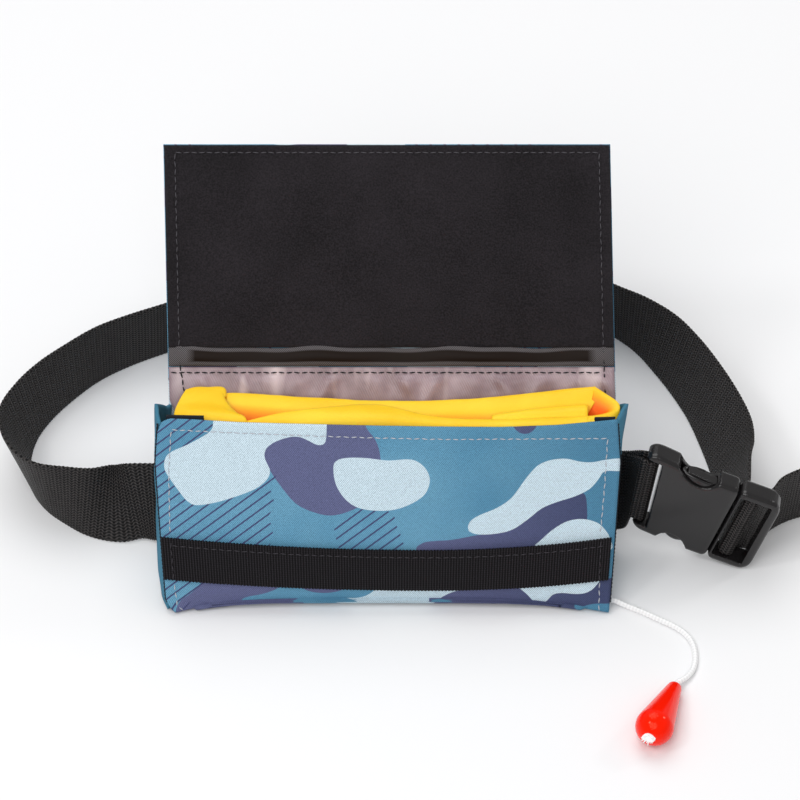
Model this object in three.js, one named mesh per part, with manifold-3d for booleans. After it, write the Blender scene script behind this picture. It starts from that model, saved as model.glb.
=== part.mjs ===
// Inflatable belt pack: an open cloth pouch with its air bladder, on a webbing belt with a
// side-release buckle, and a pull cord with a drop-shaped handle. Millimetres, +Z up.
// X runs along the pouch, +Y from the front panel towards the waist loop.
import * as THREE from 'three';
import Module from 'manifold-3d';
import { mergeVertices } from 'three/addons/utils/BufferGeometryUtils.js';

const wasm = await Module();
wasm.setup();

// Driving dimensions
const seatGap = 0.35; // between pieces that touch
const clothThick = 1.4; // coated outer cloth
const liningThick = 1.0;
const loopThick = 1.6; // brushed loop cloth
const ribbonThick = 1.0;
const hookThick = 1.8; // hook tape with its hooks
const tapeThick = 1.0;

const frontHeight = 95; // front panel, bottom fold to top hem
const pouchLean = 28.4; // degrees that the front panel leans back
const mouthDepth = 38; // front hem to back panel at the top
const baseDepth = 41; // bottom panel, on the floor
const baseWidth = 206;
const mouthWidth = 211;
const bellyWidth = 214; // where the front panel is widest
const foldRadius = 3; // front bottom fold
const heelRadius = 9; // back bottom fold
const hingeRadius = 60; // where the back panel runs on into the flap
const mouthBow = 4; // forward bow of the top hem
const bottomArch = 5; // lift of the bottom fold at its middle
const frontBelly = 2.5; // soft bulge of the front panel
const gussetBulge = 6.5; // sideways bulge of the soft side walls

const flapLength = 120;
const flapLean = 45; // degrees from upright
const flapWidth = 210;
const hingeShift = 2; // the soft pouch stands a little askew at the hinge
const flapShift = -2.6; // and the flap leans back the other way
const loopPanelLength = 95;
const flapHem = 1.5; // bare hem above the loop panel
const ribbonWidth = 8.5;
const panelInset = 1.4; // outer cloth left bare round the loop panel
const liningDrop = 58; // lining below the flap, inside the pouch

const hookWidth = 20.5;
const hookRise = 19; // lower edge of the hook tape above the bottom fold
const hookSag = 3.3; // the tape droops this far at its middle

const webWidth = 38;
const webThick = 1.5;
const loopWidth = 350; // waist loop, at the strap's lower edge
const loopDepth = 169; // waist loop, from the strap behind the pouch to its far side
const beltRise = 5.5; // strap's lower edge above the floor, behind the pouch
const sleeveWidth = 150;
const sleeveThick = 1.4;

const buckleWidth = 47;
const buckleThick = 11;
const socketLength = 42;
const plugLength = 21; // the part of the plug that shows
const barRadius = 2.1; // bars that the strap goes round
const railWidth = 3.8;
const socketSlot = 3; // slot beside the socket's bar
const plugSlot = 4; // plug's inner slot
const plugOuterSlot = 7;
const cavityThick = 6; // hollow of the socket
const shellWall = 2.6;
const windowRadius = 9.5;
const windowBite = 6.5; // how far the side windows cut into the socket
const prongLength = 24;

const cordDiameter = 2.6;
const handleRadius = 8.8; // ball end of the handle
const handleTipRadius = 3.4;
const handleReach = 30.5; // ball centre to the tip's end
const handleHeading = -112; // degrees from +X that the handle points
const knotRadius = 2.6;
const handleBore = 2.2;
const floorGap = 0.1; // keeps the round pieces off the floor line

// Short names for the maths
const radians = THREE.MathUtils.degToRad;
const lerp = THREE.MathUtils.lerp;
const up = new THREE.Vector3(0, 0, 1);
const vector = (x, y, z) => new THREE.Vector3(x, y, z);

const colours = {
  camo: 0x3f86a5,
  teal: 0x2f7f9a,
  loop: 0x16151a,
  satin: 0x1d1817,
  lining: 0x9a8f95,
  hook: 0x141416,
  binding: 0x1b1d22,
  bladder: 0xffc51e,
  webbing: 0x17171a,
  buckle: 0x1c1c1f,
  cord: 0xe9e9ea,
  handle: 0xd6160e,
};
const finish = (color, roughness) => new THREE.MeshStandardMaterial({ color, roughness, metalness: 0 });
const materials = {
  camo: finish(colours.camo, 0.7),
  teal: finish(colours.teal, 0.7),
  loop: finish(colours.loop, 0.95),
  satin: finish(colours.satin, 0.4),
  lining: finish(colours.lining, 0.5),
  hook: finish(colours.hook, 0.8),
  binding: finish(colours.binding, 0.85),
  bladder: finish(colours.bladder, 0.5),
  webbing: finish(colours.webbing, 0.8),
  buckle: finish(colours.buckle, 0.5),
  cord: finish(colours.cord, 0.8),
  handle: finish(colours.handle, 0.25),
};

const pack = new THREE.Group();
function addPiece(name, geometry, material) {
  const mesh = new THREE.Mesh(geometry, material);
  mesh.name = name;
  pack.add(mesh);
  return mesh;
}

// Closed mesh from a grid of rings: each ring is a closed outline, and both ends are filled
function loft(rings) {
  const count = rings[0].length;
  const positions = [];
  const triangles = [];
  rings.forEach((ring) => ring.forEach((p) => positions.push(p.x, p.y, p.z)));
  for (let r = 0; r < rings.length - 1; r++) {
    for (let i = 0; i < count; i++) {
      const next = (i + 1) % count;
      const a = r * count + i;
      const b = r * count + next;
      triangles.push(a, b, b + count, a, b + count, a + count);
    }
  }
  for (const [r, flip] of [[0, true], [rings.length - 1, false]]) {
    const middle = new THREE.Vector3();
    rings[r].forEach((p) => middle.addScaledVector(p, 1 / count));
    const hub = positions.length / 3;
    positions.push(middle.x, middle.y, middle.z);
    for (let i = 0; i < count; i++) {
      const a = r * count + i;
      const b = r * count + ((i + 1) % count);
      triangles.push(...(flip ? [hub, b, a] : [hub, a, b]));
    }
  }
  return facingOut(positions, triangles);
}

// Turns a closed mesh the right way round: its signed volume is positive when faces point out
function facingOut(positions, triangles) {
  const corner = (i) => new THREE.Vector3().fromArray(positions, 3 * i);
  let volume = 0;
  for (let t = 0; t < triangles.length; t += 3) {
    const [a, b, c] = [corner(triangles[t]), corner(triangles[t + 1]), corner(triangles[t + 2])];
    volume += a.dot(b.cross(c));
  }
  if (volume < 0) {
    triangles.reverse();
  }
  const geometry = new THREE.BufferGeometry();
  geometry.setAttribute('position', new THREE.Float32BufferAttribute(positions, 3));
  geometry.setIndex(triangles);
  geometry.computeVertexNormals();
  return geometry;
}

// Cloth wall: surface(u, v, lift) is lifted to an inner and an outer face and closed at its rims
function wall(surface, us, vs, inner, outer) {
  const rings = vs.map((v) => {
    const front = us.map((u) => surface(u, v, outer));
    const back = us.map((u) => surface(u, v, inner)).reverse();
    return front.concat(back);
  });
  return stripLoft(rings, us.length);
}

// Like a loft, with end caps made of the quads between the two faces of the wall
function stripLoft(rings, width) {
  const count = rings[0].length;
  const positions = [];
  const triangles = [];
  rings.forEach((ring) => ring.forEach((p) => positions.push(p.x, p.y, p.z)));
  for (let r = 0; r < rings.length - 1; r++) {
    for (let i = 0; i < count; i++) {
      const next = (i + 1) % count;
      const a = r * count + i;
      const b = r * count + next;
      triangles.push(a, b, b + count, a, b + count, a + count);
    }
  }
  const last = (rings.length - 1) * count;
  for (let i = 0; i < width - 1; i++) {
    const a = i;
    const b = i + 1;
    const c = count - 2 - i;
    const d = count - 1 - i;
    triangles.push(a, c, b, a, d, c);
    triangles.push(last + a, last + b, last + c, last + a, last + c, last + d);
  }
  return facingOut(positions, triangles);
}

const spread = (from, to, steps) => Array.from({ length: steps + 1 }, (_, i) => lerp(from, to, i / steps));

// Side profile of the pouch's outer face: front hem, bottom fold, heel, hinge, flap edge
const leanSin = Math.sin(radians(pouchLean));
const leanCos = Math.cos(radians(pouchLean));
const flapSin = Math.sin(radians(flapLean));
const flapCos = Math.cos(radians(flapLean));
const frontTop = [frontHeight * leanSin, frontHeight * leanCos];
const hinge = [frontTop[0] + mouthDepth * leanCos, frontTop[1] - mouthDepth * leanSin];
const flapEnd = [hinge[0] + flapLength * flapSin, hinge[1] + flapLength * flapCos];
const corners = [
  { y: frontTop[0], z: frontTop[1], radius: 0 },
  { y: 0, z: 0, radius: foldRadius },
  { y: baseDepth, z: 0, radius: heelRadius },
  { y: hinge[0], z: hinge[1], radius: hingeRadius },
  { y: flapEnd[0], z: flapEnd[1], radius: 0 },
];

function roundedProfile(points, arcSteps) {
  const line = [];
  points.forEach((point, i) => {
    const here = new THREE.Vector2(point.y, point.z);
    if (point.radius === 0) {
      line.push(here);
      return;
    }
    const before = new THREE.Vector2(points[i - 1].y, points[i - 1].z).sub(here).normalize();
    const after = new THREE.Vector2(points[i + 1].y, points[i + 1].z).sub(here).normalize();
    const half = Math.acos(THREE.MathUtils.clamp(before.dot(after), -1, 1)) / 2;
    const reach = point.radius / Math.tan(half);
    const start = here.clone().addScaledVector(before, reach);
    const end = here.clone().addScaledVector(after, reach);
    const curve = new THREE.QuadraticBezierCurve(start, here, end);
    line.push(...curve.getPoints(arcSteps));
  });
  return line;
}

const profile = roundedProfile(corners, 6);
const reaches = [0];
profile.forEach((p, i) => {
  if (i > 0) {
    reaches.push(reaches[i - 1] + p.distanceTo(profile[i - 1]));
  }
});
const profileEnd = reaches[reaches.length - 1];
function nearestReach(y, z) {
  let best = 0;
  profile.forEach((p, i) => {
    const here = Math.hypot(p.x - y, p.y - z);
    if (here < Math.hypot(profile[best].x - y, profile[best].y - z)) {
      best = i;
    }
  });
  return reaches[best];
}
const bottomAt = nearestReach(0, 0);
const heelAt = nearestReach(baseDepth, 0);
const hingeAt = nearestReach(hinge[0], hinge[1]);

function profileAt(reach) {
  let i = 1;
  while (i < reaches.length - 1 && reaches[i] < reach) {
    i++;
  }
  const share = (reach - reaches[i - 1]) / (reaches[i] - reaches[i - 1]);
  return profile[i - 1].clone().lerp(profile[i], share);
}
function outwardAt(reach) {
  const step = 1.5;
  const before = profileAt(Math.max(reach - step, 0));
  const after = profileAt(Math.min(reach + step, profileEnd));
  const along = after.sub(before).normalize();
  return new THREE.Vector2(along.y, -along.x);
}

// Pouch width along the profile: share is 0 at the front hem and 1 at the bottom fold
const widthRows = [
  { at: 0, width: mouthWidth },
  { at: frontHeight * 0.2, width: bellyWidth },
  { at: frontHeight * 0.62, width: (bellyWidth + baseWidth) / 2 },
  { at: frontHeight, width: baseWidth },
  { at: frontHeight + baseDepth, width: baseWidth },
  { at: frontHeight + baseDepth + mouthDepth, width: mouthWidth },
  { at: hingeAt, width: flapWidth },
  { at: profileEnd, width: flapWidth },
];
function widthAt(reach) {
  let i = 1;
  while (i < widthRows.length - 1 && widthRows[i].at < reach) {
    i++;
  }
  const low = widthRows[i - 1];
  const high = widthRows[i];
  return lerp(low.width, high.width, THREE.MathUtils.clamp((reach - low.at) / (high.at - low.at), 0, 1));
}

// How far the outer face stands out of its profile: bowed hem, arched bottom fold
function bowAt(side, reach) {
  const middle = 1 - side * side;
  const down = THREE.MathUtils.clamp(reach / bottomAt, 0, 1);
  const hem = mouthBow * middle * (1 - down) ** 1.5;
  const belly = frontBelly * middle * Math.sin(Math.PI * down);
  const arch = bottomArch * middle * Math.exp(-(((reach - bottomAt) / 9) ** 2));
  return hem + belly - arch;
}

// Point of the pouch cloth: side is -1 to 1 across, reach is along the profile, lift is outwards
function clothPoint(side, reach, lift) {
  const base = profileAt(reach);
  const outward = outwardAt(reach);
  const out = lift + bowAt(side, reach);
  const flapShare = THREE.MathUtils.clamp((reach - hingeAt) / (profileEnd - hingeAt), 0, 1);
  const backShare = THREE.MathUtils.clamp((reach - heelAt) / (hingeAt - heelAt), 0, 1);
  const x = (side * widthAt(reach)) / 2 + hingeShift * backShare + flapShift * flapShare;
  return vector(x, base.x + outward.x * out, base.y + outward.y * out);
}
function stopsBetween(from, to, longest) {
  const inside = reaches.filter((r) => r > from + 0.4 && r < to - 0.4);
  const stops = [from, ...inside, to];
  const fine = [from];
  for (let i = 1; i < stops.length; i++) {
    const pieces = Math.ceil((stops[i] - stops[i - 1]) / longest);
    for (let k = 1; k <= pieces; k++) {
      fine.push(lerp(stops[i - 1], stops[i], k / pieces));
    }
  }
  return fine;
}
function clothLayer(name, material, from, to, sideFrom, sideTo, inner, outer) {
  const sides = spread(sideFrom, sideTo, Math.max(2, Math.round(8 * (sideTo - sideFrom) / 2)));
  addPiece(name, wall(clothPoint, sides, stopsBetween(from, to, 16), inner, outer), material);
}

// Pouch body: front panel, bottom, back panel and flap are one strip of cloth
clothLayer('pouch_body', materials.camo, 0, profileEnd, -1, 1, -clothThick, 0);

// Layers on the inner side of the flap
const inside = -(clothThick + seatGap);
const loopEnd = profileEnd - flapHem;
const loopStart = loopEnd - loopPanelLength;
const ribbonStart = loopStart - seatGap - ribbonWidth;
const sideInset = 1 - (2 * panelInset) / flapWidth;
clothLayer('flap_loop_panel', materials.loop, loopStart, loopEnd, -sideInset, sideInset, inside - loopThick, inside);
clothLayer('flap_ribbon', materials.satin, ribbonStart, loopStart - seatGap, -sideInset, sideInset,
  inside - ribbonThick, inside);
const liningSide = 1 - (2 * (clothThick + gussetBulge)) / flapWidth;
const liningTop = ribbonStart - seatGap;
clothLayer('mouth_lining', materials.lining, liningTop - liningDrop, liningTop, -liningSide, liningSide,
  inside - liningThick, inside);

// Hook tape across the front panel
const hookLow = bottomAt - hookRise;
const hookSide = 0.975;
const hookPoint = (side, reach, lift) => clothPoint(side, reach + hookSag * (1 - side * side), lift);
const hookWall = wall(hookPoint, spread(-hookSide, hookSide, 8), spread(hookLow - hookWidth, hookLow, 2),
  seatGap, seatGap + hookThick);
addPiece('hook_strip', hookWall, materials.hook);

// Gussets: side walls between front and back, inside the body's edges, bulging out in between
const floorMiddle = (bottomAt + heelAt) / 2;
const gussetSeat = clothThick + seatGap;
const gussetRows = [
  { rise: 0.0, left: 0.45, right: 0.30 },
  { rise: 0.3, left: 1.00, right: 0.45 },
  { rise: 0.6, left: 0.75, right: 0.50 },
  { rise: 0.85, left: 0.60, right: 0.68 },
  { rise: 1.0, left: 0.55, right: 0.78 },
];
function bulgeAt(hand, rise) {
  const row = gussetRows.findIndex((r, i) => i > 0 && rise <= r.rise);
  const [low, high] = [gussetRows[row - 1], gussetRows[row]];
  const share = (rise - low.rise) / (high.rise - low.rise);
  const column = hand < 0 ? 'left' : 'right';
  return gussetBulge * lerp(low[column], high[column], share);
}
function gussetPoint(hand) {
  return (across, rise, lift) => {
    const frontReach = lerp(floorMiddle, 0.5, rise);
    const backReach = lerp(floorMiddle, hingeAt - 2, rise);
    const seatFront = clothPoint(hand, frontReach, -gussetSeat);
    const seatBack = clothPoint(hand, backReach, -gussetSeat);
    const point = seatFront.lerp(seatBack, across);
    point.x += hand * (Math.sin(Math.PI * across) * bulgeAt(hand, rise) + lift - clothThick);
    return point;
  };
}
for (const [name, hand] of [['gusset_left', -1], ['gusset_right', 1]]) {
  const geometry = wall(gussetPoint(hand), spread(0, 1, 6), spread(0.06, 1, 9), 0, clothThick);
  addPiece(name, geometry, materials.teal);
}

// Overlocked seam edges beside the front panel
for (const [name, hand] of [['seam_binding_left', -1], ['seam_binding_right', 1]]) {
  const bindingPoint = (depth, reach, lift) => {
    const point = clothPoint(hand, reach, -depth);
    point.x += hand * (seatGap + lift);
    return point;
  };
  const geometry = wall(bindingPoint, [0, gussetSeat], stopsBetween(1, bottomAt - 8, 10), 0, tapeThick);
  addPiece(name, geometry, materials.binding);
}

// Ends of the black tape behind the top hem of the front panel
const tapeRise = 1.6; // tape above the hem
const tapeDepth = 7; // tape below the hem
function tapePiece(name, sideFrom, sideTo) {
  const tapePoint = (side, drop, lift) => {
    const top = clothPoint(side, 0, -(clothThick + seatGap + lift));
    return top.add(vector(0, -leanSin * drop, -leanCos * drop));
  };
  const sides = spread(sideFrom, sideTo, 3);
  addPiece(name, wall(tapePoint, sides, spread(-tapeRise, tapeDepth, 2), 0, tapeThick), materials.binding);
}
tapePiece('mouth_tape_left', -0.955, -0.8);
tapePiece('mouth_tape_right', 0.89, 0.955);

// Folded bladder: sections across the pouch, in depth from the front panel and rise along it
const bladderClear = 1.7; // bladder to the layers round it
const bladderRows = [
  { side: -0.955, near: 0.20, far: 0.85, low: 0.50, front: 0.88, crest: 0.90, back: 0.90, sink: 0.00 },
  { side: -0.90, near: 0.00, far: 1.00, low: 0.25, front: 0.96, crest: 1.05, back: 1.06, sink: 0.00 },
  { side: -0.74, near: 0.00, far: 1.00, low: 0.20, front: 0.985, crest: 1.06, back: 1.07, sink: 0.00 },
  { side: -0.70, near: 0.00, far: 1.00, low: 0.20, front: 0.985, crest: 1.00, back: 1.03, sink: 0.03 },
  { side: -0.45, near: 0.00, far: 1.00, low: 0.20, front: 0.99, crest: 0.97, back: 1.03, sink: 0.05 },
  { side: 0.00, near: 0.00, far: 1.00, low: 0.20, front: 1.00, crest: 0.985, back: 1.02, sink: 0.04 },
  { side: 0.40, near: 0.00, far: 1.00, low: 0.20, front: 1.00, crest: 0.99, back: 1.04, sink: 0.04 },
  { side: 0.72, near: 0.00, far: 1.00, low: 0.20, front: 1.00, crest: 1.03, back: 1.07, sink: 0.03 },
  { side: 0.91, near: 0.00, far: 1.00, low: 0.25, front: 0.97, crest: 1.07, back: 1.09, sink: 0.00 },
  { side: 1.035, near: 0.35, far: 0.75, low: 0.78, front: 0.94, crest: 0.97, back: 0.97, sink: 0.00 },
];
function pouchInside(side, depthShare, riseShare) {
  const rise = riseShare * frontHeight;
  const reach = THREE.MathUtils.clamp(frontHeight - rise, 0, frontHeight);
  const frontBow = bowAt(side, Math.min(reach, bottomAt));
  const room = mouthDepth - 2 * clothThick - liningThick - 3 * seatGap - 2 * bladderClear;
  const depth = lerp(clothThick + bladderClear - frontBow, clothThick + bladderClear + room, depthShare);
  const x = (side * baseWidth) / 2;
  return vector(x, rise * leanSin + depth * leanCos, rise * leanCos - depth * leanSin);
}
const bladderRings = bladderRows.map((row) => {
  const outline = [
    [0, 0.2], [0, 0.5], [0, 0.8], [0, row.front], [0.08, row.front + 0.02],
    [0.3, row.crest - row.sink], [0.6, row.crest], [0.85, row.back], [1, row.back - 0.03],
    [1, 0.8], [0.9, 0.55], [0.62, 0.36], [0.3, 0.27],
  ];
  const toLow = (rise) => (rise > 0.8 ? rise : lerp(row.low, 0.8, (rise - 0.2) / 0.6));
  return outline.map(([depth, rise]) => pouchInside(row.side, lerp(row.near, row.far, depth), toLow(rise)));
});
addPiece('bladder', loft(bladderRings), materials.bladder);

// Buckle frame: origin at the buckle's middle, length axis towards the plug's end,
// width axis along the bars and face axis out of its front
const buckleMiddle = vector(147.9, 40.2, 30.6);
const lengthAxis = vector(0.94, -0.19, -0.285).normalize();
const faceAxis = lengthAxis.clone().cross(vector(0.29, 0, 0.957)).normalize();
const widthAxis = faceAxis.clone().cross(lengthAxis).normalize();
const buckleTurn = new THREE.Matrix4().makeBasis(lengthAxis, widthAxis, faceAxis);
const buckleAt = (along, across, face) => vector(along, across, face).applyMatrix4(buckleTurn).add(buckleMiddle);

const buckleLength = socketLength + seatGap + plugLength;
const socketLeft = -buckleLength / 2;
const socketRight = socketLeft + socketLength;
const plugLeft = socketRight + seatGap;
const plugRight = buckleLength / 2;
const barOffset = barRadius + seatGap + webThick / 2; // strap's centre line from a bar's axis
const barInset = 0.8; // bar behind the socket's strap end
const socketBar = socketLeft + barRadius + barInset;
const socketSlotEnd = socketBar + barRadius + socketSlot;
const plugBar = plugLeft + 1.5 + plugSlot + barRadius;
const plugOuterEnd = plugBar + barRadius + plugOuterSlot;
const halfWidth = buckleWidth / 2;
const halfSlot = halfWidth - railWidth;

function solidOf(geometry) {
  const plain = geometry.index ? geometry.toNonIndexed() : geometry.clone();
  for (const name of Object.keys(plain.attributes)) {
    if (name !== 'position') {
      plain.deleteAttribute(name);
    }
  }
  const merged = mergeVertices(plain, 1e-4);
  const mesh = new wasm.Mesh({
    numProp: 3,
    vertProperties: new Float32Array(merged.attributes.position.array),
    triVerts: new Uint32Array(merged.index.array),
  });
  return new wasm.Manifold(mesh);
}
function geometryOf(solid) {
  const mesh = solid.getMesh();
  const geometry = new THREE.BufferGeometry();
  geometry.setAttribute('position', new THREE.BufferAttribute(new Float32Array(mesh.vertProperties), 3));
  geometry.setIndex(new THREE.BufferAttribute(new Uint32Array(mesh.triVerts), 1));
  geometry.computeVertexNormals();
  return geometry;
}
function block(alongFrom, alongTo, acrossFrom, acrossTo, faceFrom, faceTo) {
  const box = new THREE.BoxGeometry(alongTo - alongFrom, acrossTo - acrossFrom, faceTo - faceFrom);
  box.translate((alongFrom + alongTo) / 2, (acrossFrom + acrossTo) / 2, (faceFrom + faceTo) / 2);
  return solidOf(box);
}
function rod(along, face, radius, length) {
  const cylinder = new THREE.CylinderGeometry(radius, radius, length, 16);
  cylinder.translate(along, 0, face);
  return solidOf(cylinder);
}
function pillar(along, across, radius) {
  const cylinder = new THREE.CylinderGeometry(radius, radius, buckleThick * 2, 28);
  cylinder.rotateX(Math.PI / 2);
  cylinder.translate(along, across, 0);
  return solidOf(cylinder);
}

// Slab with round corners and a bevelled rim, drawn in length and width
function roundedSlab(from, to, half, cornerLeft, cornerRight, thick, bevel) {
  const shape = new THREE.Shape();
  const inset = bevel;
  const [a, b, h] = [from + inset, to - inset, half - inset];
  shape.moveTo(a + cornerLeft, -h);
  shape.lineTo(b - cornerRight, -h);
  shape.quadraticCurveTo(b, -h, b, -h + cornerRight);
  shape.lineTo(b, h - cornerRight);
  shape.quadraticCurveTo(b, h, b - cornerRight, h);
  shape.lineTo(a + cornerLeft, h);
  shape.quadraticCurveTo(a, h, a, h - cornerLeft);
  shape.lineTo(a, -h + cornerLeft);
  shape.quadraticCurveTo(a, -h, a + cornerLeft, -h);
  const geometry = new THREE.ExtrudeGeometry(shape, {
    depth: thick - 2 * bevel, bevelEnabled: true, bevelThickness: bevel, bevelSize: bevel,
    bevelSegments: 2, curveSegments: 5,
  });
  geometry.translate(0, 0, -thick / 2 + bevel);
  return solidOf(geometry);
}

// Socket: a flat shell with side windows, open at the plug's end, with a bar for the strap
const rimBevel = 2;
let socket = roundedSlab(socketLeft, socketRight, halfWidth, 5, 1, buckleThick, rimBevel);
socket = socket.subtract(block(socketLeft - 1, socketSlotEnd, -halfSlot, halfSlot, -buckleThick, buckleThick));
socket = socket.add(rod(socketBar, 0, barRadius, buckleWidth - railWidth));
for (const hand of [-1, 1]) {
  socket = socket.subtract(pillar(socketRight - 19, hand * (halfWidth + windowRadius - windowBite), windowRadius));
}
const cavity = cavityThick / 2;
socket = socket.subtract(
  block(socketSlotEnd + shellWall, socketRight + 1, -halfWidth + shellWall, halfWidth - shellWall, -cavity, cavity));
const addToBuckle = (name, solid) => {
  const mesh = addPiece(name, geometryOf(solid), materials.buckle);
  mesh.quaternion.setFromRotationMatrix(buckleTurn);
  mesh.position.copy(buckleMiddle);
};
addToBuckle('buckle_socket', socket);

// Plug: ladder frame for the strap, and a tongue with two side prongs inside the socket
const prong = cavity - seatGap;
let plug = roundedSlab(plugLeft, plugRight, halfWidth, 1, 5, buckleThick, rimBevel);
plug = plug.subtract(block(plugLeft + 1.5, plugOuterEnd, -halfSlot, halfSlot, -buckleThick, buckleThick));
plug = plug.add(rod(plugBar, 0, barRadius, buckleWidth - railWidth));
plug = plug.subtract(block(plugOuterEnd - 1, plugRight + 1, -halfSlot, halfSlot, -buckleThick, -barRadius - 0.6));
plug = plug.add(block(plugLeft - prongLength, plugLeft + 1, -3.5, 3.5, -prong, prong));
for (const hand of [-1, 1]) {
  const outer = hand * (halfWidth - shellWall - seatGap);
  const inner = hand * (halfWidth - shellWall - seatGap - 4.2);
  const armFrom = Math.min(outer, inner);
  const armTo = Math.max(outer, inner);
  plug = plug.add(block(plugLeft - prongLength, plugLeft + 1, armFrom, armTo, -prong, prong));
}
addToBuckle('buckle_plug', plug);

// Belt route. Rows give the strap's lower edge: side and back are shares of the waist loop,
// rise is a share of the webbing's width, lean (outwards) and skew (along the run) are degrees
const beltStart = 48.5; // lower edge of the strap behind the pouch, from the front fold
const loopRows = [
  { side: -0.670, back: -0.002, rise: 0.065, lean: -29 },
  { side: -0.720, back: -0.006, rise: 0.020, lean: -31 },
  { side: -0.775, back: 0.002, rise: 0.010, lean: -28 },
  { side: -0.830, back: 0.024, rise: 0.010, lean: -15 },
  { side: -0.885, back: 0.065, rise: 0.010, lean: -3 },
  { side: -0.932, back: 0.108, rise: 0.010, lean: 7 },
  { side: -0.968, back: 0.160, rise: 0.010, lean: 13 },
  { side: -0.995, back: 0.235, rise: 0.010, lean: 17 },
  { side: -1.002, back: 0.320, rise: 0.010, lean: 18 },
  { side: -0.990, back: 0.402, rise: 0.010, lean: 11 },
  { side: -0.955, back: 0.482, rise: 0.010, lean: 6 },
  { side: -0.903, back: 0.560, rise: 0.010, lean: 1.5 },
  { side: -0.829, back: 0.645, rise: 0.010, lean: -2 },
  { side: -0.743, back: 0.709, rise: 0.010, lean: -5 },
  { side: -0.646, back: 0.763, rise: 0.010, lean: -6.5 },
  { side: -0.486, back: 0.840, rise: 0.010, lean: -5 },
  { side: -0.257, back: 0.920, rise: 0.010, lean: -2 },
  { side: 0.000, back: 0.975, rise: 0.010, lean: 0 },
  { side: 0.228, back: 0.982, rise: 0.010, lean: 0 },
  { side: 0.428, back: 0.950, rise: 0.010, lean: -2 },
  { side: 0.571, back: 0.892, rise: 0.010, lean: -4 },
  { side: 0.665, back: 0.822, rise: 0.010, lean: -3 },
  { side: 0.720, back: 0.757, rise: 0.010, lean: 4 },
  { side: 0.768, back: 0.670, rise: 0.010, lean: 14 },
  { side: 0.809, back: 0.584, rise: 0.010, lean: 18 },
  { side: 0.848, back: 0.483, rise: 0.010, lean: 21 },
  { side: 0.878, back: 0.366, rise: 0.010, lean: 26 },
  { side: 0.898, back: 0.262, rise: 0.015, lean: 28 },
  { side: 0.906, back: 0.155, rise: 0.070, lean: 25 },
  { side: 0.907, back: 0.068, rise: 0.150, lean: 20 },
];
const tailRows = [
  { side: 0.990, back: 0.000, rise: 0.060, lean: -6, skew: 9 },
  { side: 1.035, back: 0.042, rise: 0.015, lean: -5, skew: 3 },
  { side: 1.089, back: 0.074, rise: 0.010, lean: -5, skew: 0 },
  { side: 1.160, back: 0.104, rise: 0.010, lean: -4, skew: 0 },
];

// A station of the strap is its lower edge and the direction across the strap
const station = (lower, across) => ({ lower, across: across.clone().normalize() });
function routeStations(rows) {
  const points = rows.map((row) => vector(
    (row.side * loopWidth) / 2, beltStart + row.back * loopDepth, row.rise * webWidth));
  return points.map((point, i) => {
    const before = points[Math.max(i - 1, 0)];
    const after = points[Math.min(i + 1, points.length - 1)];
    const run = after.clone().sub(before).normalize();
    const outward = up.clone().cross(run).normalize();
    const upright = up.clone().addScaledVector(run, -run.z).normalize();
    upright.addScaledVector(run, Math.tan(radians(rows[i].skew ?? 0)));
    const lean = radians(rows[i].lean);
    return station(point, upright.multiplyScalar(Math.cos(lean)).addScaledVector(outward, Math.sin(lean)));
  });
}
const buckleStation = (along, face) => {
  const middle = buckleAt(along, 0, face);
  return station(middle.addScaledVector(widthAxis, -webWidth / 2), widthAxis);
};
function barTurn(bar, face, from, to, steps) {
  return spread(from, to, steps).map((angle) => buckleStation(
    bar + barOffset * Math.cos(radians(angle)), face + barOffset * Math.sin(radians(angle))));
}

// Back panel plane that the strap lies on: lower edge, across direction and outward direction
const backRun = vector(0, hinge[0] - baseDepth, hinge[1]).normalize();
const backOut = vector(0, backRun.z, -backRun.y);
function backStation(x, rise, lift) {
  const lower = vector(x, baseDepth, 0).addScaledVector(backRun, rise / backRun.z).addScaledVector(backOut, lift);
  return station(lower, backRun);
}
const innerLift = seatGap + webThick / 2;
const outerLift = innerLift + webThick + seatGap;
const socketSideRise = beltRise + 7;

const beltStations = [
  backStation(84, socketSideRise, outerLift),
  backStation(100, socketSideRise + 0.8, outerLift),
  backStation(107.5, socketSideRise + 1.2, outerLift),
  station(vector(110.6, 50.1, 18.4), vector(0.1, 0.36, 0.92)),
  buckleStation(socketBar - 3, -barOffset + 0.3),
  ...barTurn(socketBar, 0, -90, 90, 8),
  buckleStation(socketBar - 3, barOffset - 0.3),
  station(vector(110.4, 47.7, 17.8), vector(0.12, 0.38, 0.91)),
  backStation(107.5, socketSideRise + 1, innerLift),
  backStation(100, socketSideRise + 0.5, innerLift),
  ...spread(84, -106, 9).map((x) => backStation(x, lerp(socketSideRise, beltRise, (84 - x) / 190), innerLift)),
  backStation(-110, beltRise - 0.6, innerLift + 1),
  ...routeStations(loopRows),
  buckleStation(plugBar - barOffset, -9),
  buckleStation(plugBar - barOffset, -4),
  ...barTurn(plugBar, 0, 180, 0, 8),
  buckleStation(plugBar + barOffset + 0.3, -3),
  ...routeStations(tailRows),
];

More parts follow.
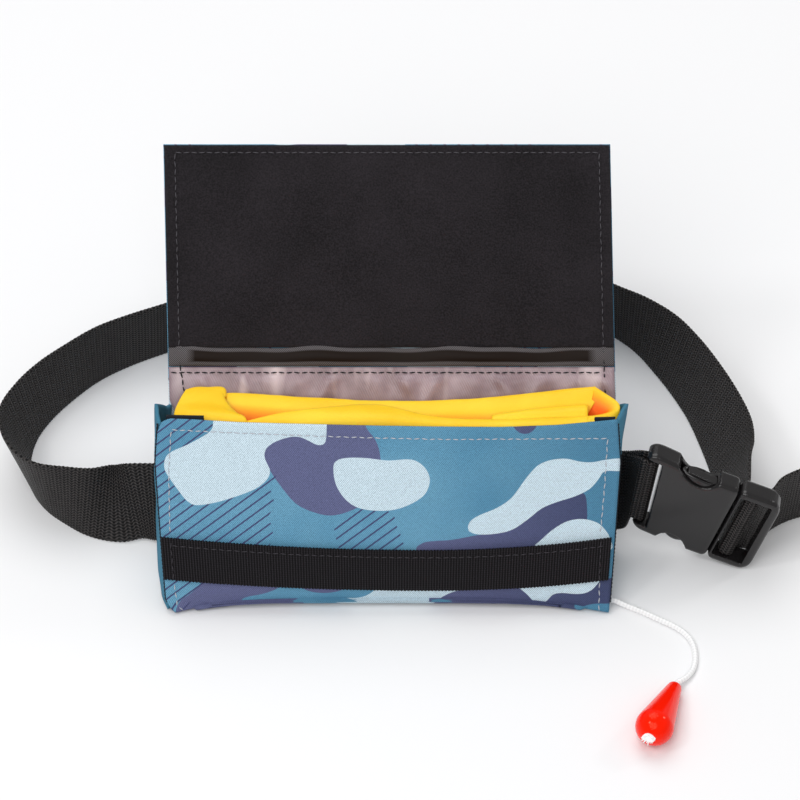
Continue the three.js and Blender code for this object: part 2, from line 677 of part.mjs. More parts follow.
function ribbon(stations, width, thick, steps) {
  const lowerCurve = new THREE.CatmullRomCurve3(stations.map((s) => s.lower), false, 'centripetal');
  const upperCurve = new THREE.CatmullRomCurve3(
    stations.map((s) => s.lower.clone().addScaledVector(s.across, width)), false, 'centripetal');
  const last = stations.length - 1;
  const rings = [];
  for (let i = 0; i < last; i++) {
    const length = stations[i].lower.distanceTo(stations[i + 1].lower);
    const pieces = Math.max(1, Math.min(steps, Math.round(length / 6)));
    for (let k = 0; k < pieces + (i === last - 1 ? 1 : 0); k++) {
      const t = (i + k / pieces) / last;
      const lower = lowerCurve.getPoint(t);
      const upper = upperCurve.getPoint(t);
      const across = upper.clone().sub(lower).normalize();
      const middle = lower.clone().add(upper).multiplyScalar(0.5);
      const run = lowerCurve.getTangent(t).add(upperCurve.getTangent(t)).normalize();
      const face = across.clone().cross(run).normalize();
      const corner = (w, f) => middle.clone().addScaledVector(across, (w * width) / 2)
        .addScaledVector(face, (f * thick) / 2);
      rings.push([corner(-1, -1), corner(1, -1), corner(1, 1), corner(-1, 1)]);
    }
  }
  return stripLoft(rings, 2);
}
addPiece('belt', ribbon(beltStations, webWidth, webThick, 5), materials.webbing);

// Sleeve on the back panel that holds the strap: it stands clear of it and comes down to the
// panel above and below
const sleeveLift = innerLift + webThick / 2 + seatGap;
const sleeveMargin = 3.5;
const sleeveStep = 2.5; // rise over which an edge comes down to the panel
const sleeveLow = beltRise - sleeveMargin;
const sleeveHigh = socketSideRise + webWidth * backRun.z + sleeveMargin;
function sleevePoint(rise, x, lift) {
  const atEdge = rise === sleeveLow || rise === sleeveHigh;
  const seat = atEdge ? seatGap : sleeveLift;
  return vector(x, baseDepth, 0).addScaledVector(backRun, rise / backRun.z).addScaledVector(backOut, seat + lift);
}
const sleeveRises = [sleeveLow, sleeveLow + sleeveStep, sleeveHigh - sleeveStep, sleeveHigh];
const sleeveSides = spread(-sleeveWidth / 2, sleeveWidth / 2, 3);
addPiece('belt_sleeve', wall(sleevePoint, sleeveRises, sleeveSides, 0, sleeveThick), materials.teal);

// Pull cord: out of the gusset's lower front corner and along the floor to the handle
const cordRoute = [
  [104.8, 8.7, 2.7], [106.9, 8.2, 2.4], [109.3, 7.1, 2.0], [112.0, 5.9, 1.6], [115.2, 4.4, 1.4],
  [119.0, 2.3, 1.4], [123.5, -0.4, 1.4], [128.0, -3.2, 1.4], [132.0, -5.7, 1.4], [135.6, -8.4, 1.4],
  [138.5, -11.6, 1.4], [140.6, -15.6, 1.4], [141.7, -20.3, 1.4], [141.8, -25.3, 1.4], [141.0, -30.4, 1.5],
  [139.3, -34.6, 1.8], [136.9, -38.0, 2.3], [134.0, -40.7, 2.9], [132.1, -42.6, 3.2], [131.4, -44.2, 3.5],
].map(([x, y, z]) => vector(x, y, z));
const cordCurve = new THREE.CatmullRomCurve3(cordRoute, false, 'centripetal');
const cordSection = new THREE.Shape(
  spread(0, 2 * Math.PI * (7 / 8), 7).map((a) => new THREE.Vector2(
    (cordDiameter / 2) * Math.cos(a), (cordDiameter / 2) * Math.sin(a))));
addPiece('pull_cord', new THREE.ExtrudeGeometry(cordSection, { extrudePath: cordCurve, steps: 30, bevelEnabled: false }),
  materials.cord);

// Handle: a ball that runs out into a cone, with a bore for the cord and a seat for its knot
const cordEnd = cordRoute[cordRoute.length - 1];
const handleDip = Math.asin((handleRadius + floorGap - cordEnd.z) / (handleReach + seatGap));
const handleAxis = vector(
  Math.cos(radians(handleHeading)) * Math.cos(handleDip), Math.sin(radians(handleHeading)) * Math.cos(handleDip),
  Math.sin(handleDip));
const ballMiddle = cordEnd.clone().addScaledVector(handleAxis, handleReach + seatGap);
const coneAngle = Math.asin((handleRadius - handleTipRadius) / handleReach);
const seatDepth = 3;
const handleProfile = [
  new THREE.Vector2(0, handleRadius - seatDepth),
  new THREE.Vector2(handleBore, handleRadius - seatDepth),
  new THREE.Vector2(handleBore, Math.sqrt(handleRadius ** 2 - handleBore ** 2)),
  ...spread(radians(68), -coneAngle, 8).map((a) => new THREE.Vector2(
    handleRadius * Math.cos(a), handleRadius * Math.sin(a))),
  new THREE.Vector2(handleTipRadius, -handleReach + 1.2),
  new THREE.Vector2(handleTipRadius - 0.9, -handleReach),
  new THREE.Vector2(0, -handleReach),
];
const toHandle = new THREE.Quaternion().setFromUnitVectors(vector(0, 1, 0), handleAxis);
const handle = addPiece('pull_handle', new THREE.LatheGeometry(handleProfile.reverse(), 24), materials.handle);
handle.quaternion.copy(toHandle);
handle.position.copy(ballMiddle);

const knotProfile = spread(-90, 90, 6).map((a) => new THREE.Vector2(
  a === -90 || a === 90 ? 0 : (handleBore - seatGap) * Math.cos(radians(a)), knotRadius * Math.sin(radians(a))));
const knot = addPiece('cord_knot', new THREE.LatheGeometry(knotProfile, 12), materials.cord);
knot.quaternion.copy(toHandle);
knot.position.copy(ballMiddle).addScaledVector(handleAxis, handleRadius - seatDepth + seatGap + knotRadius);

// The frame's origin is at the bottom middle of the pack without its pull cord
const cordNames = ['pull_cord', 'pull_handle', 'cord_knot'];
pack.updateMatrixWorld(true);
const extent = new THREE.Box3();
pack.children.forEach((mesh) => {
  if (!cordNames.includes(mesh.name)) {
    extent.expandByObject(mesh, true);
  }
});
const middle = extent.getCenter(new THREE.Vector3());
pack.position.set(-middle.x, -middle.y, -extent.min.z);
pack.updateMatrixWorld(true);

export default pack;
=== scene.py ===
# Inflatable belt pack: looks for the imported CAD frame. Blender 4.5, metres, +Z up.
import math

import bmesh
import bpy
import numpy as np
from mathutils import Matrix, Vector, noise


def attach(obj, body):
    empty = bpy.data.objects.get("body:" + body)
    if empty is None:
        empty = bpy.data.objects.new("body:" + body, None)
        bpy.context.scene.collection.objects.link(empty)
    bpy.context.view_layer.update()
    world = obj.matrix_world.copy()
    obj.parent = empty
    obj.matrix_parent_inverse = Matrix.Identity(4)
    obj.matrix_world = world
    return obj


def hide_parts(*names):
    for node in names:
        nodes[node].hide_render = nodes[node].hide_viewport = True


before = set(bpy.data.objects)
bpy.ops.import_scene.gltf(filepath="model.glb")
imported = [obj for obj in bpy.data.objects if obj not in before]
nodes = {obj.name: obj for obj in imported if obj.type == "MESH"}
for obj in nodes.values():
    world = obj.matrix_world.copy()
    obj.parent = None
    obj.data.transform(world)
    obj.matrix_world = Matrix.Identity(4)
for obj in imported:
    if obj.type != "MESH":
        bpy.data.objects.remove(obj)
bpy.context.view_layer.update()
scene = bpy.context.scene
mm = 0.001
print("frame loaded:", len(nodes), "nodes")

# The CAD's own sizes in millimetres, before its origin was moved under the middle of the pack
pouch = {
    "shiftX": -8.25, "shiftY": -108.69, "seatGap": 0.35,
    "clothThick": 1.4, "frontHeight": 95, "lean": 28.4, "mouthDepth": 38, "baseDepth": 41,
    "baseWidth": 206, "mouthWidth": 211, "bellyWidth": 214,
    "foldRadius": 3, "heelRadius": 9, "hingeRadius": 60,
    "mouthBow": 4, "bottomArch": 6.6, "frontBelly": 2.5,
    "flapLength": 120, "flapLean": 45, "flapWidth": 210, "hingeShift": 2, "flapShift": -2.6,
}


def lerp(a, b, t):
    return a + (b - a) * t


def clamp(value, low, high):
    return max(low, min(high, value))


def inFrame(point):  # CAD millimetres to the frame's metres
    return Vector((point[0] + pouch["shiftX"], point[1] + pouch["shiftY"], point[2])) * mm


def smoothPath(points, t):  # centripetal Catmull-Rom, t counts from 0 at the first point to 1 at the last
    last = len(points) - 1
    at = clamp(t, 0, 1) * last
    i = min(int(at), last - 1)
    w = at - i
    b, c = points[i], points[i + 1]
    a = points[i - 1] if i > 0 else b * 2 - c
    d = points[i + 2] if i + 2 <= last else c * 2 - b
    stepA, stepB, stepC = ((q - p).length ** 0.5 or 1.0 for p, q in ((a, b), (b, c), (c, d)))
    tangentB = ((b - a) / stepA - (c - a) / (stepA + stepB) + (c - b) / stepB) * stepB
    tangentC = ((c - b) / stepB - (d - b) / (stepB + stepC) + (d - c) / stepC) * stepB
    bend = (c - b) * 3 - tangentB * 2 - tangentC
    twist = (b - c) * 2 + tangentB + tangentC
    return b + tangentB * w + bend * w * w + twist * w * w * w


def runLengths(points):  # distance of each point from the first, along the line
    steps = [0.0]
    for before, after in zip(points, points[1:]):
        steps.append(steps[-1] + (after - before).length)
    return steps


# Side profile of the pouch: front hem, bottom fold, heel, hinge, flap edge
leanSin = math.sin(math.radians(pouch["lean"]))
leanCos = math.cos(math.radians(pouch["lean"]))
flapTurn = math.radians(pouch["flapLean"])
frontTop = Vector((pouch["frontHeight"] * leanSin, pouch["frontHeight"] * leanCos))
hinge = frontTop + Vector((leanCos, -leanSin)) * pouch["mouthDepth"]
flapEnd = hinge + Vector((math.sin(flapTurn), math.cos(flapTurn))) * pouch["flapLength"]


def roundedProfile(corners, arcSteps):
    line = []
    for i, (corner, radius) in enumerate(corners):
        if radius == 0:
            line.append(corner)
            continue
        before = (corners[i - 1][0] - corner).normalized()
        after = (corners[i + 1][0] - corner).normalized()
        reach = radius / math.tan(math.acos(clamp(before.dot(after), -1, 1)) / 2)
        start, end = corner + before * reach, corner + after * reach
        for k in range(arcSteps + 1):
            t = k / arcSteps
            line.append(start * (1 - t) ** 2 + corner * (2 * t * (1 - t)) + end * t * t)
    return line


profile = roundedProfile([
    (frontTop, 0), (Vector((0, 0)), pouch["foldRadius"]),
    (Vector((pouch["baseDepth"], 0)), pouch["heelRadius"]),
    (hinge, pouch["hingeRadius"]), (flapEnd, 0)], 12)
reaches = runLengths(profile)
profileEnd = reaches[-1]


def nearestReach(corner):
    return reaches[min(range(len(profile)), key=lambda i: (profile[i] - corner).length)]


bottomAt = nearestReach(Vector((0, 0)))
heelAt = nearestReach(Vector((pouch["baseDepth"], 0)))
hingeAt = nearestReach(hinge)


def profileAt(reach):
    i = clamp(int(np.searchsorted(reaches, reach)), 1, len(reaches) - 1)
    share = (reach - reaches[i - 1]) / (reaches[i] - reaches[i - 1])
    return profile[i - 1].lerp(profile[i], share)


def outwardAt(reach):
    along = (profileAt(min(reach + 1.5, profileEnd)) - profileAt(reach - 1.5)).normalized()
    return Vector((along.y, -along.x))


widthRows = [
    (0, pouch["mouthWidth"]), (pouch["frontHeight"] * 0.2, pouch["bellyWidth"]),
    (pouch["frontHeight"] * 0.62, (pouch["bellyWidth"] + pouch["baseWidth"]) / 2),
    (pouch["frontHeight"], pouch["baseWidth"]),
    (pouch["frontHeight"] + pouch["baseDepth"], pouch["baseWidth"]),
    (pouch["frontHeight"] + pouch["baseDepth"] + pouch["mouthDepth"], pouch["mouthWidth"]),
    (hingeAt, pouch["flapWidth"]), (profileEnd, pouch["flapWidth"])]


def widthAt(reach):
    return float(np.interp(reach, [row[0] for row in widthRows], [row[1] for row in widthRows]))


def bowAt(side, reach):  # soft bow of the hem and belly, and the arch of the bottom fold
    middle = 1 - side * side
    down = clamp(reach / bottomAt, 0.0, 1.0)
    hem = pouch["mouthBow"] * middle * (1 - down) ** 1.5
    belly = pouch["frontBelly"] * middle * math.sin(math.pi * down)
    arch = pouch["bottomArch"] * (1 - abs(side) ** 3.2) * math.exp(-(((reach - bottomAt) / 9) ** 2))
    return hem + belly - arch


def clothPoint(side, reach, lift=0.0):
    base, outward = profileAt(reach), outwardAt(reach)
    out = lift + bowAt(side, reach)
    flapShare = clamp((reach - hingeAt) / (profileEnd - hingeAt), 0, 1)
    backShare = clamp((reach - heelAt) / (hingeAt - heelAt), 0, 1)
    x = side * widthAt(reach) / 2 + pouch["hingeShift"] * backShare + pouch["flapShift"] * flapShare
    return Vector((x, base.x + outward.x * out, base.y + outward.y * out))


def ripple(x, y, size, seed):  # soft unevenness of cloth, -1 to 1
    return noise.noise(Vector((x / size, y / size, seed)))


# Colours and node materials
def hexColor(code):
    parts = [int(code[i:i + 2], 16) / 255 for i in (1, 3, 5)]
    return tuple(p / 12.92 if p <= 0.04045 else ((p + 0.055) / 1.055) ** 2.4 for p in parts) + (1.0,)


def addNode(tree, kind, inputs=None, **settings):
    node = tree.nodes.new(kind)
    for key, value in settings.items():
        setattr(node, key, value)
    for key, value in (inputs or {}).items():
        if isinstance(value, bpy.types.NodeSocket):
            tree.links.new(value, node.inputs[key])
        else:
            node.inputs[key].default_value = value
    return node


def newMaterial(name, **sockets):
    material = bpy.data.materials.new(name)
    material.use_nodes = True
    shader = material.node_tree.nodes["Principled BSDF"]
    for key, value in sockets.items():
        shader.inputs[key.replace("_", " ")].default_value = value
    return material, material.node_tree, shader


def mathNode(tree, operation, a, b=0.0, c=0.0):
    return addNode(tree, "ShaderNodeMath", {0: a, 1: b, 2: c}, operation=operation).outputs[0]


def readMap(tree, uvMap):
    # The two directions of a piece's own UV map
    place = addNode(tree, "ShaderNodeUVMap", uv_map=uvMap).outputs[0]
    parts = addNode(tree, "ShaderNodeSeparateXYZ", {0: place})
    return parts.outputs[0], parts.outputs[1]


def readMask(tree, name):
    return addNode(tree, "ShaderNodeAttribute", attribute_name=name).outputs["Fac"]


def waves(tree, value, pitch):
    return mathNode(tree, "SINE", mathNode(tree, "MULTIPLY", value, 2 * math.pi / pitch))


def twill(tree, pitch, slope):
    # Diagonal rib of a twill on the cloth's own UV map, whose unit is a metre
    x, y = readMap(tree, "cloth")
    across = mathNode(tree, "MULTIPLY", x, 2 * math.pi / pitch)
    along = mathNode(tree, "MULTIPLY_ADD", y, 2 * math.pi * slope / pitch, across)
    return mathNode(tree, "SINE", along)


def cloud(tree, scale, detail, stretch=None):
    # Noise in the piece's own space: scale counts its lumps to the metre
    place = addNode(tree, "ShaderNodeTexCoord").outputs["Object"]
    if stretch:
        place = addNode(tree, "ShaderNodeVectorMath", {0: place, 1: stretch}, operation="MULTIPLY").outputs[0]
    lumps = addNode(tree, "ShaderNodeTexNoise", {"Vector": place, "Scale": scale, "Detail": detail})
    return lumps.outputs[0]


def colorMix(tree, factor, low, high, blend="MIX"):
    mix = addNode(tree, "ShaderNodeMix", {0: factor, 6: low, 7: high}, data_type="RGBA", blend_type=blend)
    return mix.outputs[2]


def softStep(tree, value, low, high):
    ramp = addNode(tree, "ShaderNodeMapRange", {0: value, 1: low, 2: high, 3: 0.0, 4: 1.0})
    return ramp.outputs[0]


def shade(tree, value, low, high, dark, light):
    # One colour that turns into the other while value goes from low to high
    return colorMix(tree, softStep(tree, value, low, high), hexColor(dark), hexColor(light))


def colorOn(tree, shader, color):
    tree.links.new(color, shader.inputs["Base Color"])


def bumpOn(tree, shader, height, distance, strength=1.0):
    bump = addNode(tree, "ShaderNodeBump", {"Height": height, "Distance": distance, "Strength": strength})
    tree.links.new(bump.outputs[0], shader.inputs["Normal"])


# Pitches of weave, ribs and print in mm. Yarns are drawn coarser than the real ones, so that they show.
pitches = {
    "camoYarn": 0.95, "tealYarn": 0.85, "liningYarn": 1.1, "ribbonYarn": 0.9, "hookRib": 1.25, "hookRow": 1.1,
    "webbingChevron": 3.4, "webbingRib": 1.55, "hatch": 4.1,
}
# The printed hatch rises at this angle, and its lines lie past this share of half a pitch
hatching = {"degrees": 38, "inkFrom": 0.41, "blur": 0.03}
# Darker towards the buckle's side, between these places across the pouch, in mm: painted shade, as the light
# falls from the left, and in the navy partly the print's own deeper ink
inkAndShadeAcross = {"from": 15, "to": 100}


def coatedCamoCloth():
    # PU-coated polyester oxford, printed: flat colours with a fine twill and a dull sheen
    material, tree, shader = newMaterial("coatedCamoCloth", Roughness=0.72, Specular_IOR_Level=0.32)
    x, y = readMap(tree, "cloth")
    teal = shade(tree, cloud(tree, 26.0, 2.0), 0.35, 0.65, "#5f9ec1", "#70accc")
    # Painted shade: teal and navy darken away from the light on the left; the navy's darkening is partly its
    # own ink
    inkAndShade = softStep(tree, x, inkAndShadeAcross["from"] * mm, inkAndShadeAcross["to"] * mm)
    teal = colorMix(tree, inkAndShade, teal, hexColor("#508daf"))
    inkNavy = colorMix(tree, inkAndShade, hexColor("#686d97"), hexColor("#424c73"))
    color = colorMix(tree, softStep(tree, readMask(tree, "navy"), 0.12, -0.12), teal, inkNavy)
    turn, pitch = math.radians(hatching["degrees"]), pitches["hatch"] * mm
    along = mathNode(tree, "MULTIPLY", x, math.sin(turn) / pitch)
    count = mathNode(tree, "MULTIPLY_ADD", y, math.cos(turn) / pitch, along)
    off = mathNode(tree, "ABSOLUTE", mathNode(tree, "SUBTRACT", mathNode(tree, "FRACT", count), 0.5))
    ink = softStep(tree, off, hatching["inkFrom"] - hatching["blur"], hatching["inkFrom"] + hatching["blur"])
    hatch = mathNode(tree, "MULTIPLY", ink, softStep(tree, readMask(tree, "hatch"), 0.2, -0.2))
    color = colorMix(tree, hatch, color, hexColor("#454a78"))
    color = colorMix(tree, softStep(tree, readMask(tree, "pale"), 0.12, -0.12), color, hexColor("#ddf3ff"))
    weave = twill(tree, pitches["camoYarn"] * mm, 0.8)
    grain = mathNode(tree, "MULTIPLY_ADD", cloud(tree, 1500.0, 1.0), 2.2, weave)
    yarns = shade(tree, grain, -0.4, 1.9, "#747474", "#ffffff")
    colorOn(tree, shader, colorMix(tree, 0.62, color, yarns, "MULTIPLY"))
    bumpOn(tree, shader, grain, 0.07 * mm)
    return material


def plainCoatedCloth(name, code):
    # The same oxford in one colour
    material, tree, shader = newMaterial(name, Roughness=0.74, Specular_IOR_Level=0.3)
    weave = twill(tree, pitches["tealYarn"] * mm, 0.8)
    dark = tuple(0.72 * p for p in hexColor(code)[:3]) + (1.0,)
    colorOn(tree, shader, colorMix(tree, softStep(tree, weave, -1.4, 1.0), dark, hexColor(code)))
    bumpOn(tree, shader, weave, 0.05 * mm)
    return material


def brushedLoopCloth():
    # Knitted nylon loop, brushed: a dead black nap with lint and a faint grain
    material, tree, shader = newMaterial(
        "brushedLoopCloth", Roughness=0.95, Specular_IOR_Level=0.08, Sheen_Weight=0.09, Sheen_Roughness=0.6)
    nap = cloud(tree, 1300.0, 2.0)
    mixed = mathNode(tree, "MULTIPLY_ADD", cloud(tree, 34.0, 3.0), 0.45, nap)
    colorOn(tree, shader, shade(tree, mixed, 0.5, 1.0, "#141214", "#2b272b"))
    bumpOn(tree, shader, nap, 0.25 * mm, 0.8)
    return material


def satinLining():
    # Grey polyester satin: long floats that catch the light, with the yarns just visible
    material, tree, shader = newMaterial(
        "greySatinLining", Roughness=0.3, Specular_IOR_Level=0.5, Sheen_Weight=0.15)
    weave = twill(tree, pitches["liningYarn"] * mm, 0.45)
    mixed = mathNode(tree, "MULTIPLY_ADD", weave, 0.05, cloud(tree, 90.0, 2.0))
    color = shade(tree, mixed, 0.3, 0.75, "#836d72", "#ab969d")
    # Painted highlight: pale streaks down the cloth, where its puckers would catch the light
    paintedSheen = cloud(tree, 95.0, 1.0, (1, 0.22, 0.22))
    colorOn(tree, shader, colorMix(tree, softStep(tree, paintedSheen, 0.55, 0.76), color, hexColor("#d6c3c5")))
    bumpOn(tree, shader, weave, 0.03 * mm)
    return material


def satinRibbon():
    # Black polyester ribbon: shiny middle, dull grey woven edges
    material, tree, shader = newMaterial("satinRibbon", Specular_IOR_Level=0.13)
    x, y = readMap(tree, "strip")
    off = mathNode(tree, "ABSOLUTE", mathNode(tree, "SUBTRACT", y, 0.5))
    end = mathNode(tree, "ABSOLUTE", mathNode(tree, "SUBTRACT", x, 0.5))
    edge = mathNode(tree, "MAXIMUM", softStep(tree, off, 0.24, 0.32), softStep(tree, end, 0.44, 0.46))
    weave = twill(tree, pitches["ribbonYarn"] * mm, 0.9)
    woven = shade(tree, weave, -1, 1, "#141213", "#777274")
    colorOn(tree, shader, colorMix(tree, edge, hexColor("#150801"), woven))
    tree.links.new(mathNode(tree, "MULTIPLY_ADD", edge, 0.25, 0.5), shader.inputs["Roughness"])
    bumpOn(tree, shader, mathNode(tree, "MULTIPLY", weave, edge), 0.08 * mm)
    return material


def ribbedHookTape():
    # Nylon hook tape: ribs across the tape with rows of dull hooks between them
    material, tree, shader = newMaterial("ribbedHookTape", Roughness=0.72, Specular_IOR_Level=0.16)
    x, y = readMap(tree, "cloth")
    ribs = waves(tree, x, pitches["hookRib"] * mm)
    height = mathNode(tree, "MULTIPLY_ADD", waves(tree, y, pitches["hookRow"] * mm), 0.45, ribs)
    colorOn(tree, shader, shade(tree, height, -0.6, 1.3, "#040305", "#2c292d"))
    bumpOn(tree, shader, height, 0.18 * mm)
    return material


def wovenWebbing():
    # Polypropylene webbing, black: ribs across the strap, each a stack of small chevrons
    material, tree, shader = newMaterial("wovenWebbing", Roughness=0.5, Specular_IOR_Level=0.22)
    x, y = readMap(tree, "strap")
    column = mathNode(tree, "MULTIPLY", x, 1 / (pitches["webbingChevron"] * mm))
    zigzag = mathNode(tree, "PINGPONG", column, 0.5)
    across = mathNode(tree, "MULTIPLY", y, 1 / (pitches["webbingRib"] * mm))
    ribs = waves(tree, mathNode(tree, "MULTIPLY_ADD", zigzag, 1.5, across), 1)
    valley = mathNode(tree, "COSINE", mathNode(tree, "MULTIPLY", column, 4 * math.pi))
    height = mathNode(tree, "MULTIPLY_ADD", valley, -0.7, ribs)
    mixed = mathNode(tree, "MULTIPLY_ADD", cloud(tree, 240.0, 2.0), 0.8, height)
    colorOn(tree, shader, shade(tree, mixed, -0.4, 2.0, "#030304", "#4a4645"))
    bumpOn(tree, shader, height, 0.3 * mm)
    return material


def bladderCloth():
    # TPU-coated nylon taffeta, bright yellow: smooth, slightly waxy, with orange painted shade deep in its
    # folds, for the warm light bounced there
    material, tree, shader = newMaterial(
        "bladderCloth", Roughness=0.46, Specular_IOR_Level=0.22,
        Subsurface_Weight=0.12, Subsurface_Scale=0.004)
    tone = cloud(tree, 30.0, 3.0)
    color = shade(tree, tone, 0.3, 0.7, "#ffc722", "#ffd534")
    # Painted shade: orange where the fold mask marks the cloth's deep folds
    colorOn(tree, shader, colorMix(tree, readMask(tree, "fold"), color, hexColor("#ff6c00")))
    bumpOn(tree, shader, tone, 0.8 * mm, 0.5)
    return material


def mouldedAcetal():
    # Injection-moulded acetal, black, with a fine spark texture that blurs the highlights
    material, tree, shader = newMaterial(
        "mouldedAcetal", Base_Color=hexColor("#171516"), Roughness=0.22, Specular_IOR_Level=0.5)
    bumpOn(tree, shader, cloud(tree, 2200.0, 1.0), 0.03 * mm, 0.6)
    return material


def glossyRedPlastic():
    # Polished moulded plastic, a saturated orange red whose gloss stays warm
    return newMaterial("glossyRedPlastic", Base_Color=hexColor("#ff1a00"), Roughness=0.14,
                       Specular_IOR_Level=0.5, Specular_Tint=hexColor("#ff9678"))[0]


def plainYarn(name, code, rough):
    # Spun or filament thread, small enough that only its colour and dullness show
    return newMaterial(name, Base_Color=hexColor(code), Roughness=rough, Specular_IOR_Level=0.3)[0]


def braidedYarn():
    # Braided polyester cord: white, with grey painted shade in the hollows where the strands cross
    material, tree, shader = newMaterial("braidedYarn", Roughness=0.7, Specular_IOR_Level=0.35)
    colorOn(tree, shader, shade(tree, readMask(tree, "strand"), 0.0, 1.0, "#e6e6e6", "#ffffff"))
    return material


materials = {
    "camo": coatedCamoCloth(),
    "teal": plainCoatedCloth("tealOxford", "#3f7f9b"),
    "loop": brushedLoopCloth(),
    "ribbon": satinRibbon(),
    "lining": satinLining(),
    "hook": ribbedHookTape(),
    "webbing": wovenWebbing(),
    "bladder": bladderCloth(),
    "buckle": mouldedAcetal(),
    "handle": glossyRedPlastic(),
    "cord": braidedYarn(),
    "whiteYarn": plainYarn("whiteYarn", "#ffffff", 0.9),
    "greyThread": plainYarn("greyThread", "#b4b7bf", 0.6),
    "dullThread": plainYarn("dullThread", "#4d4b50", 0.7),
    "tapeThread": plainYarn("tapeThread", "#3b383d", 0.7),
    "blackThread": plainYarn("blackThread", "#17171a", 0.7),
    "overlock": plainYarn("overlockYarn", "#171b22", 0.85),
}
print("materials made:", len(materials))


# Making and fastening pieces
def finishPiece(name, bm, material, replaced=()):
    for face in bm.faces:
        face.smooth = True
    mesh = bpy.data.meshes.new(name)
    bm.to_mesh(mesh)
    bm.free()
    piece = bpy.data.objects.new(name, mesh)
    scene.collection.objects.link(piece)
    piece.data.materials.append(materials[material])
    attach(piece, "root")
    if replaced:
        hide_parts(*replaced)
    return piece


def gridPiece(name, size, spacing, place, material, facing, replaced=(), *, thick, uvPlace=None):
    # A flat grid of size mm, bent into place by place(u, v), which returns CAD millimetres
    columns, rows = (max(2, round(length / spacing)) for length in size)
    bm = bmesh.new()
    bmesh.ops.create_grid(bm, x_segments=columns, y_segments=rows, size=0.5)
    cloth = bm.loops.layers.uv.new("cloth")
    strip = bm.loops.layers.uv.new("strip")
    for face in bm.faces:
        for loop in face.loops:
            u, v = loop.vert.co.x + 0.5, loop.vert.co.y + 0.5
            real = uvPlace(u, v) if uvPlace else (u * size[0], v * size[1])
            loop[cloth].uv = (real[0] * mm, real[1] * mm)
            loop[strip].uv = (u, v)
    for vert in bm.verts:
        vert.co = inFrame(place(vert.co.x + 0.5, vert.co.y + 0.5))
    bm.normal_update()
    middle = bm.faces[:][len(bm.faces) // 2 + columns // 2]
    if middle.normal.dot(Vector(facing)) < 0:
        bmesh.ops.reverse_faces(bm, faces=bm.faces[:])
    piece = finishPiece(name, bm, material, replaced)
    wall = piece.modifiers.new("wall", "SOLIDIFY")
    wall.thickness = thick * mm
    wall.offset = -1
    return piece


def closeTube(bm):
    # Joins the long edges of a grid that was rolled into a tube, and caps its ends
    bmesh.ops.remove_doubles(bm, verts=bm.verts[:], dist=0.002 * mm)
    bmesh.ops.holes_fill(bm, edges=[edge for edge in bm.edges if edge.is_boundary])
    bmesh.ops.recalc_face_normals(bm, faces=bm.faces[:])


def spunShape(outline, steps):
    # Turns an outline of (radius, height) rows about Z
    bm = bmesh.new()
    verts = [bm.verts.new((r, 0, h)) for r, h in outline]
    edges = [bm.edges.new(pair) for pair in zip(verts, verts[1:])]
    bmesh.ops.spin(bm, geom=verts + edges, cent=(0, 0, 0), axis=(0, 0, 1), angle=2 * math.pi, steps=steps,
                   use_merge=True, use_duplicate=False)
    bmesh.ops.remove_doubles(bm, verts=bm.verts[:], dist=0.001)
    return bm


def toFrame(bm):
    for vert in bm.verts:
        vert.co = inFrame(vert.co)


def turnTo(axis):
    return axis.to_track_quat("Z", "Y").to_matrix().to_4x4()


def netPlace(net):
    # Smooth surface through a small net of points: rows run along v, columns along u
    rows = [[Vector(point) for point in row] for row in net]

    def place(u, v):
        return smoothPath([smoothPath(row, u) for row in rows], v)
    return place


# Camera: the photograph looks 45 degrees down through a long lens
view = {"place": (-0.00264, -1.08741, 1.12260), "down": 45, "lens": 143.1, "sensor": 36}
cameraData = bpy.data.cameras.new("camera")
cameraData.lens = view["lens"]
cameraData.sensor_width = view["sensor"]
camera = bpy.data.objects.new("camera", cameraData)
camera.location = view["place"]
camera.rotation_euler = (math.radians(view["down"]), 0, 0)
scene.collection.objects.link(camera)
scene.camera = camera


# Pull cord, first of the pieces: the route is the CAD's own
cord = {
    "diameter": 2.6, "around": 24, "rings": 300, "strandPitch": 3.4, "strandDepth": 0.09,
    "route": [
        (104.8, 8.7, 2.7), (106.9, 8.2, 2.4), (109.3, 7.1, 2.0), (112.0, 5.9, 1.6), (115.2, 4.4, 1.4),
        (119.0, 2.3, 1.4), (123.5, -0.4, 1.4), (128.0, -3.2, 1.4), (132.0, -5.7, 1.4), (135.6, -8.4, 1.4),
        (138.5, -11.6, 1.4), (140.6, -15.6, 1.4), (141.7, -20.3, 1.4), (141.8, -25.3, 1.4),
        (141.0, -30.4, 1.5),
        (139.3, -34.6, 1.8), (136.9, -38.0, 2.3), (134.0, -40.7, 2.9), (132.1, -42.6, 3.2),
        (131.4, -44.2, 3.5)],
}


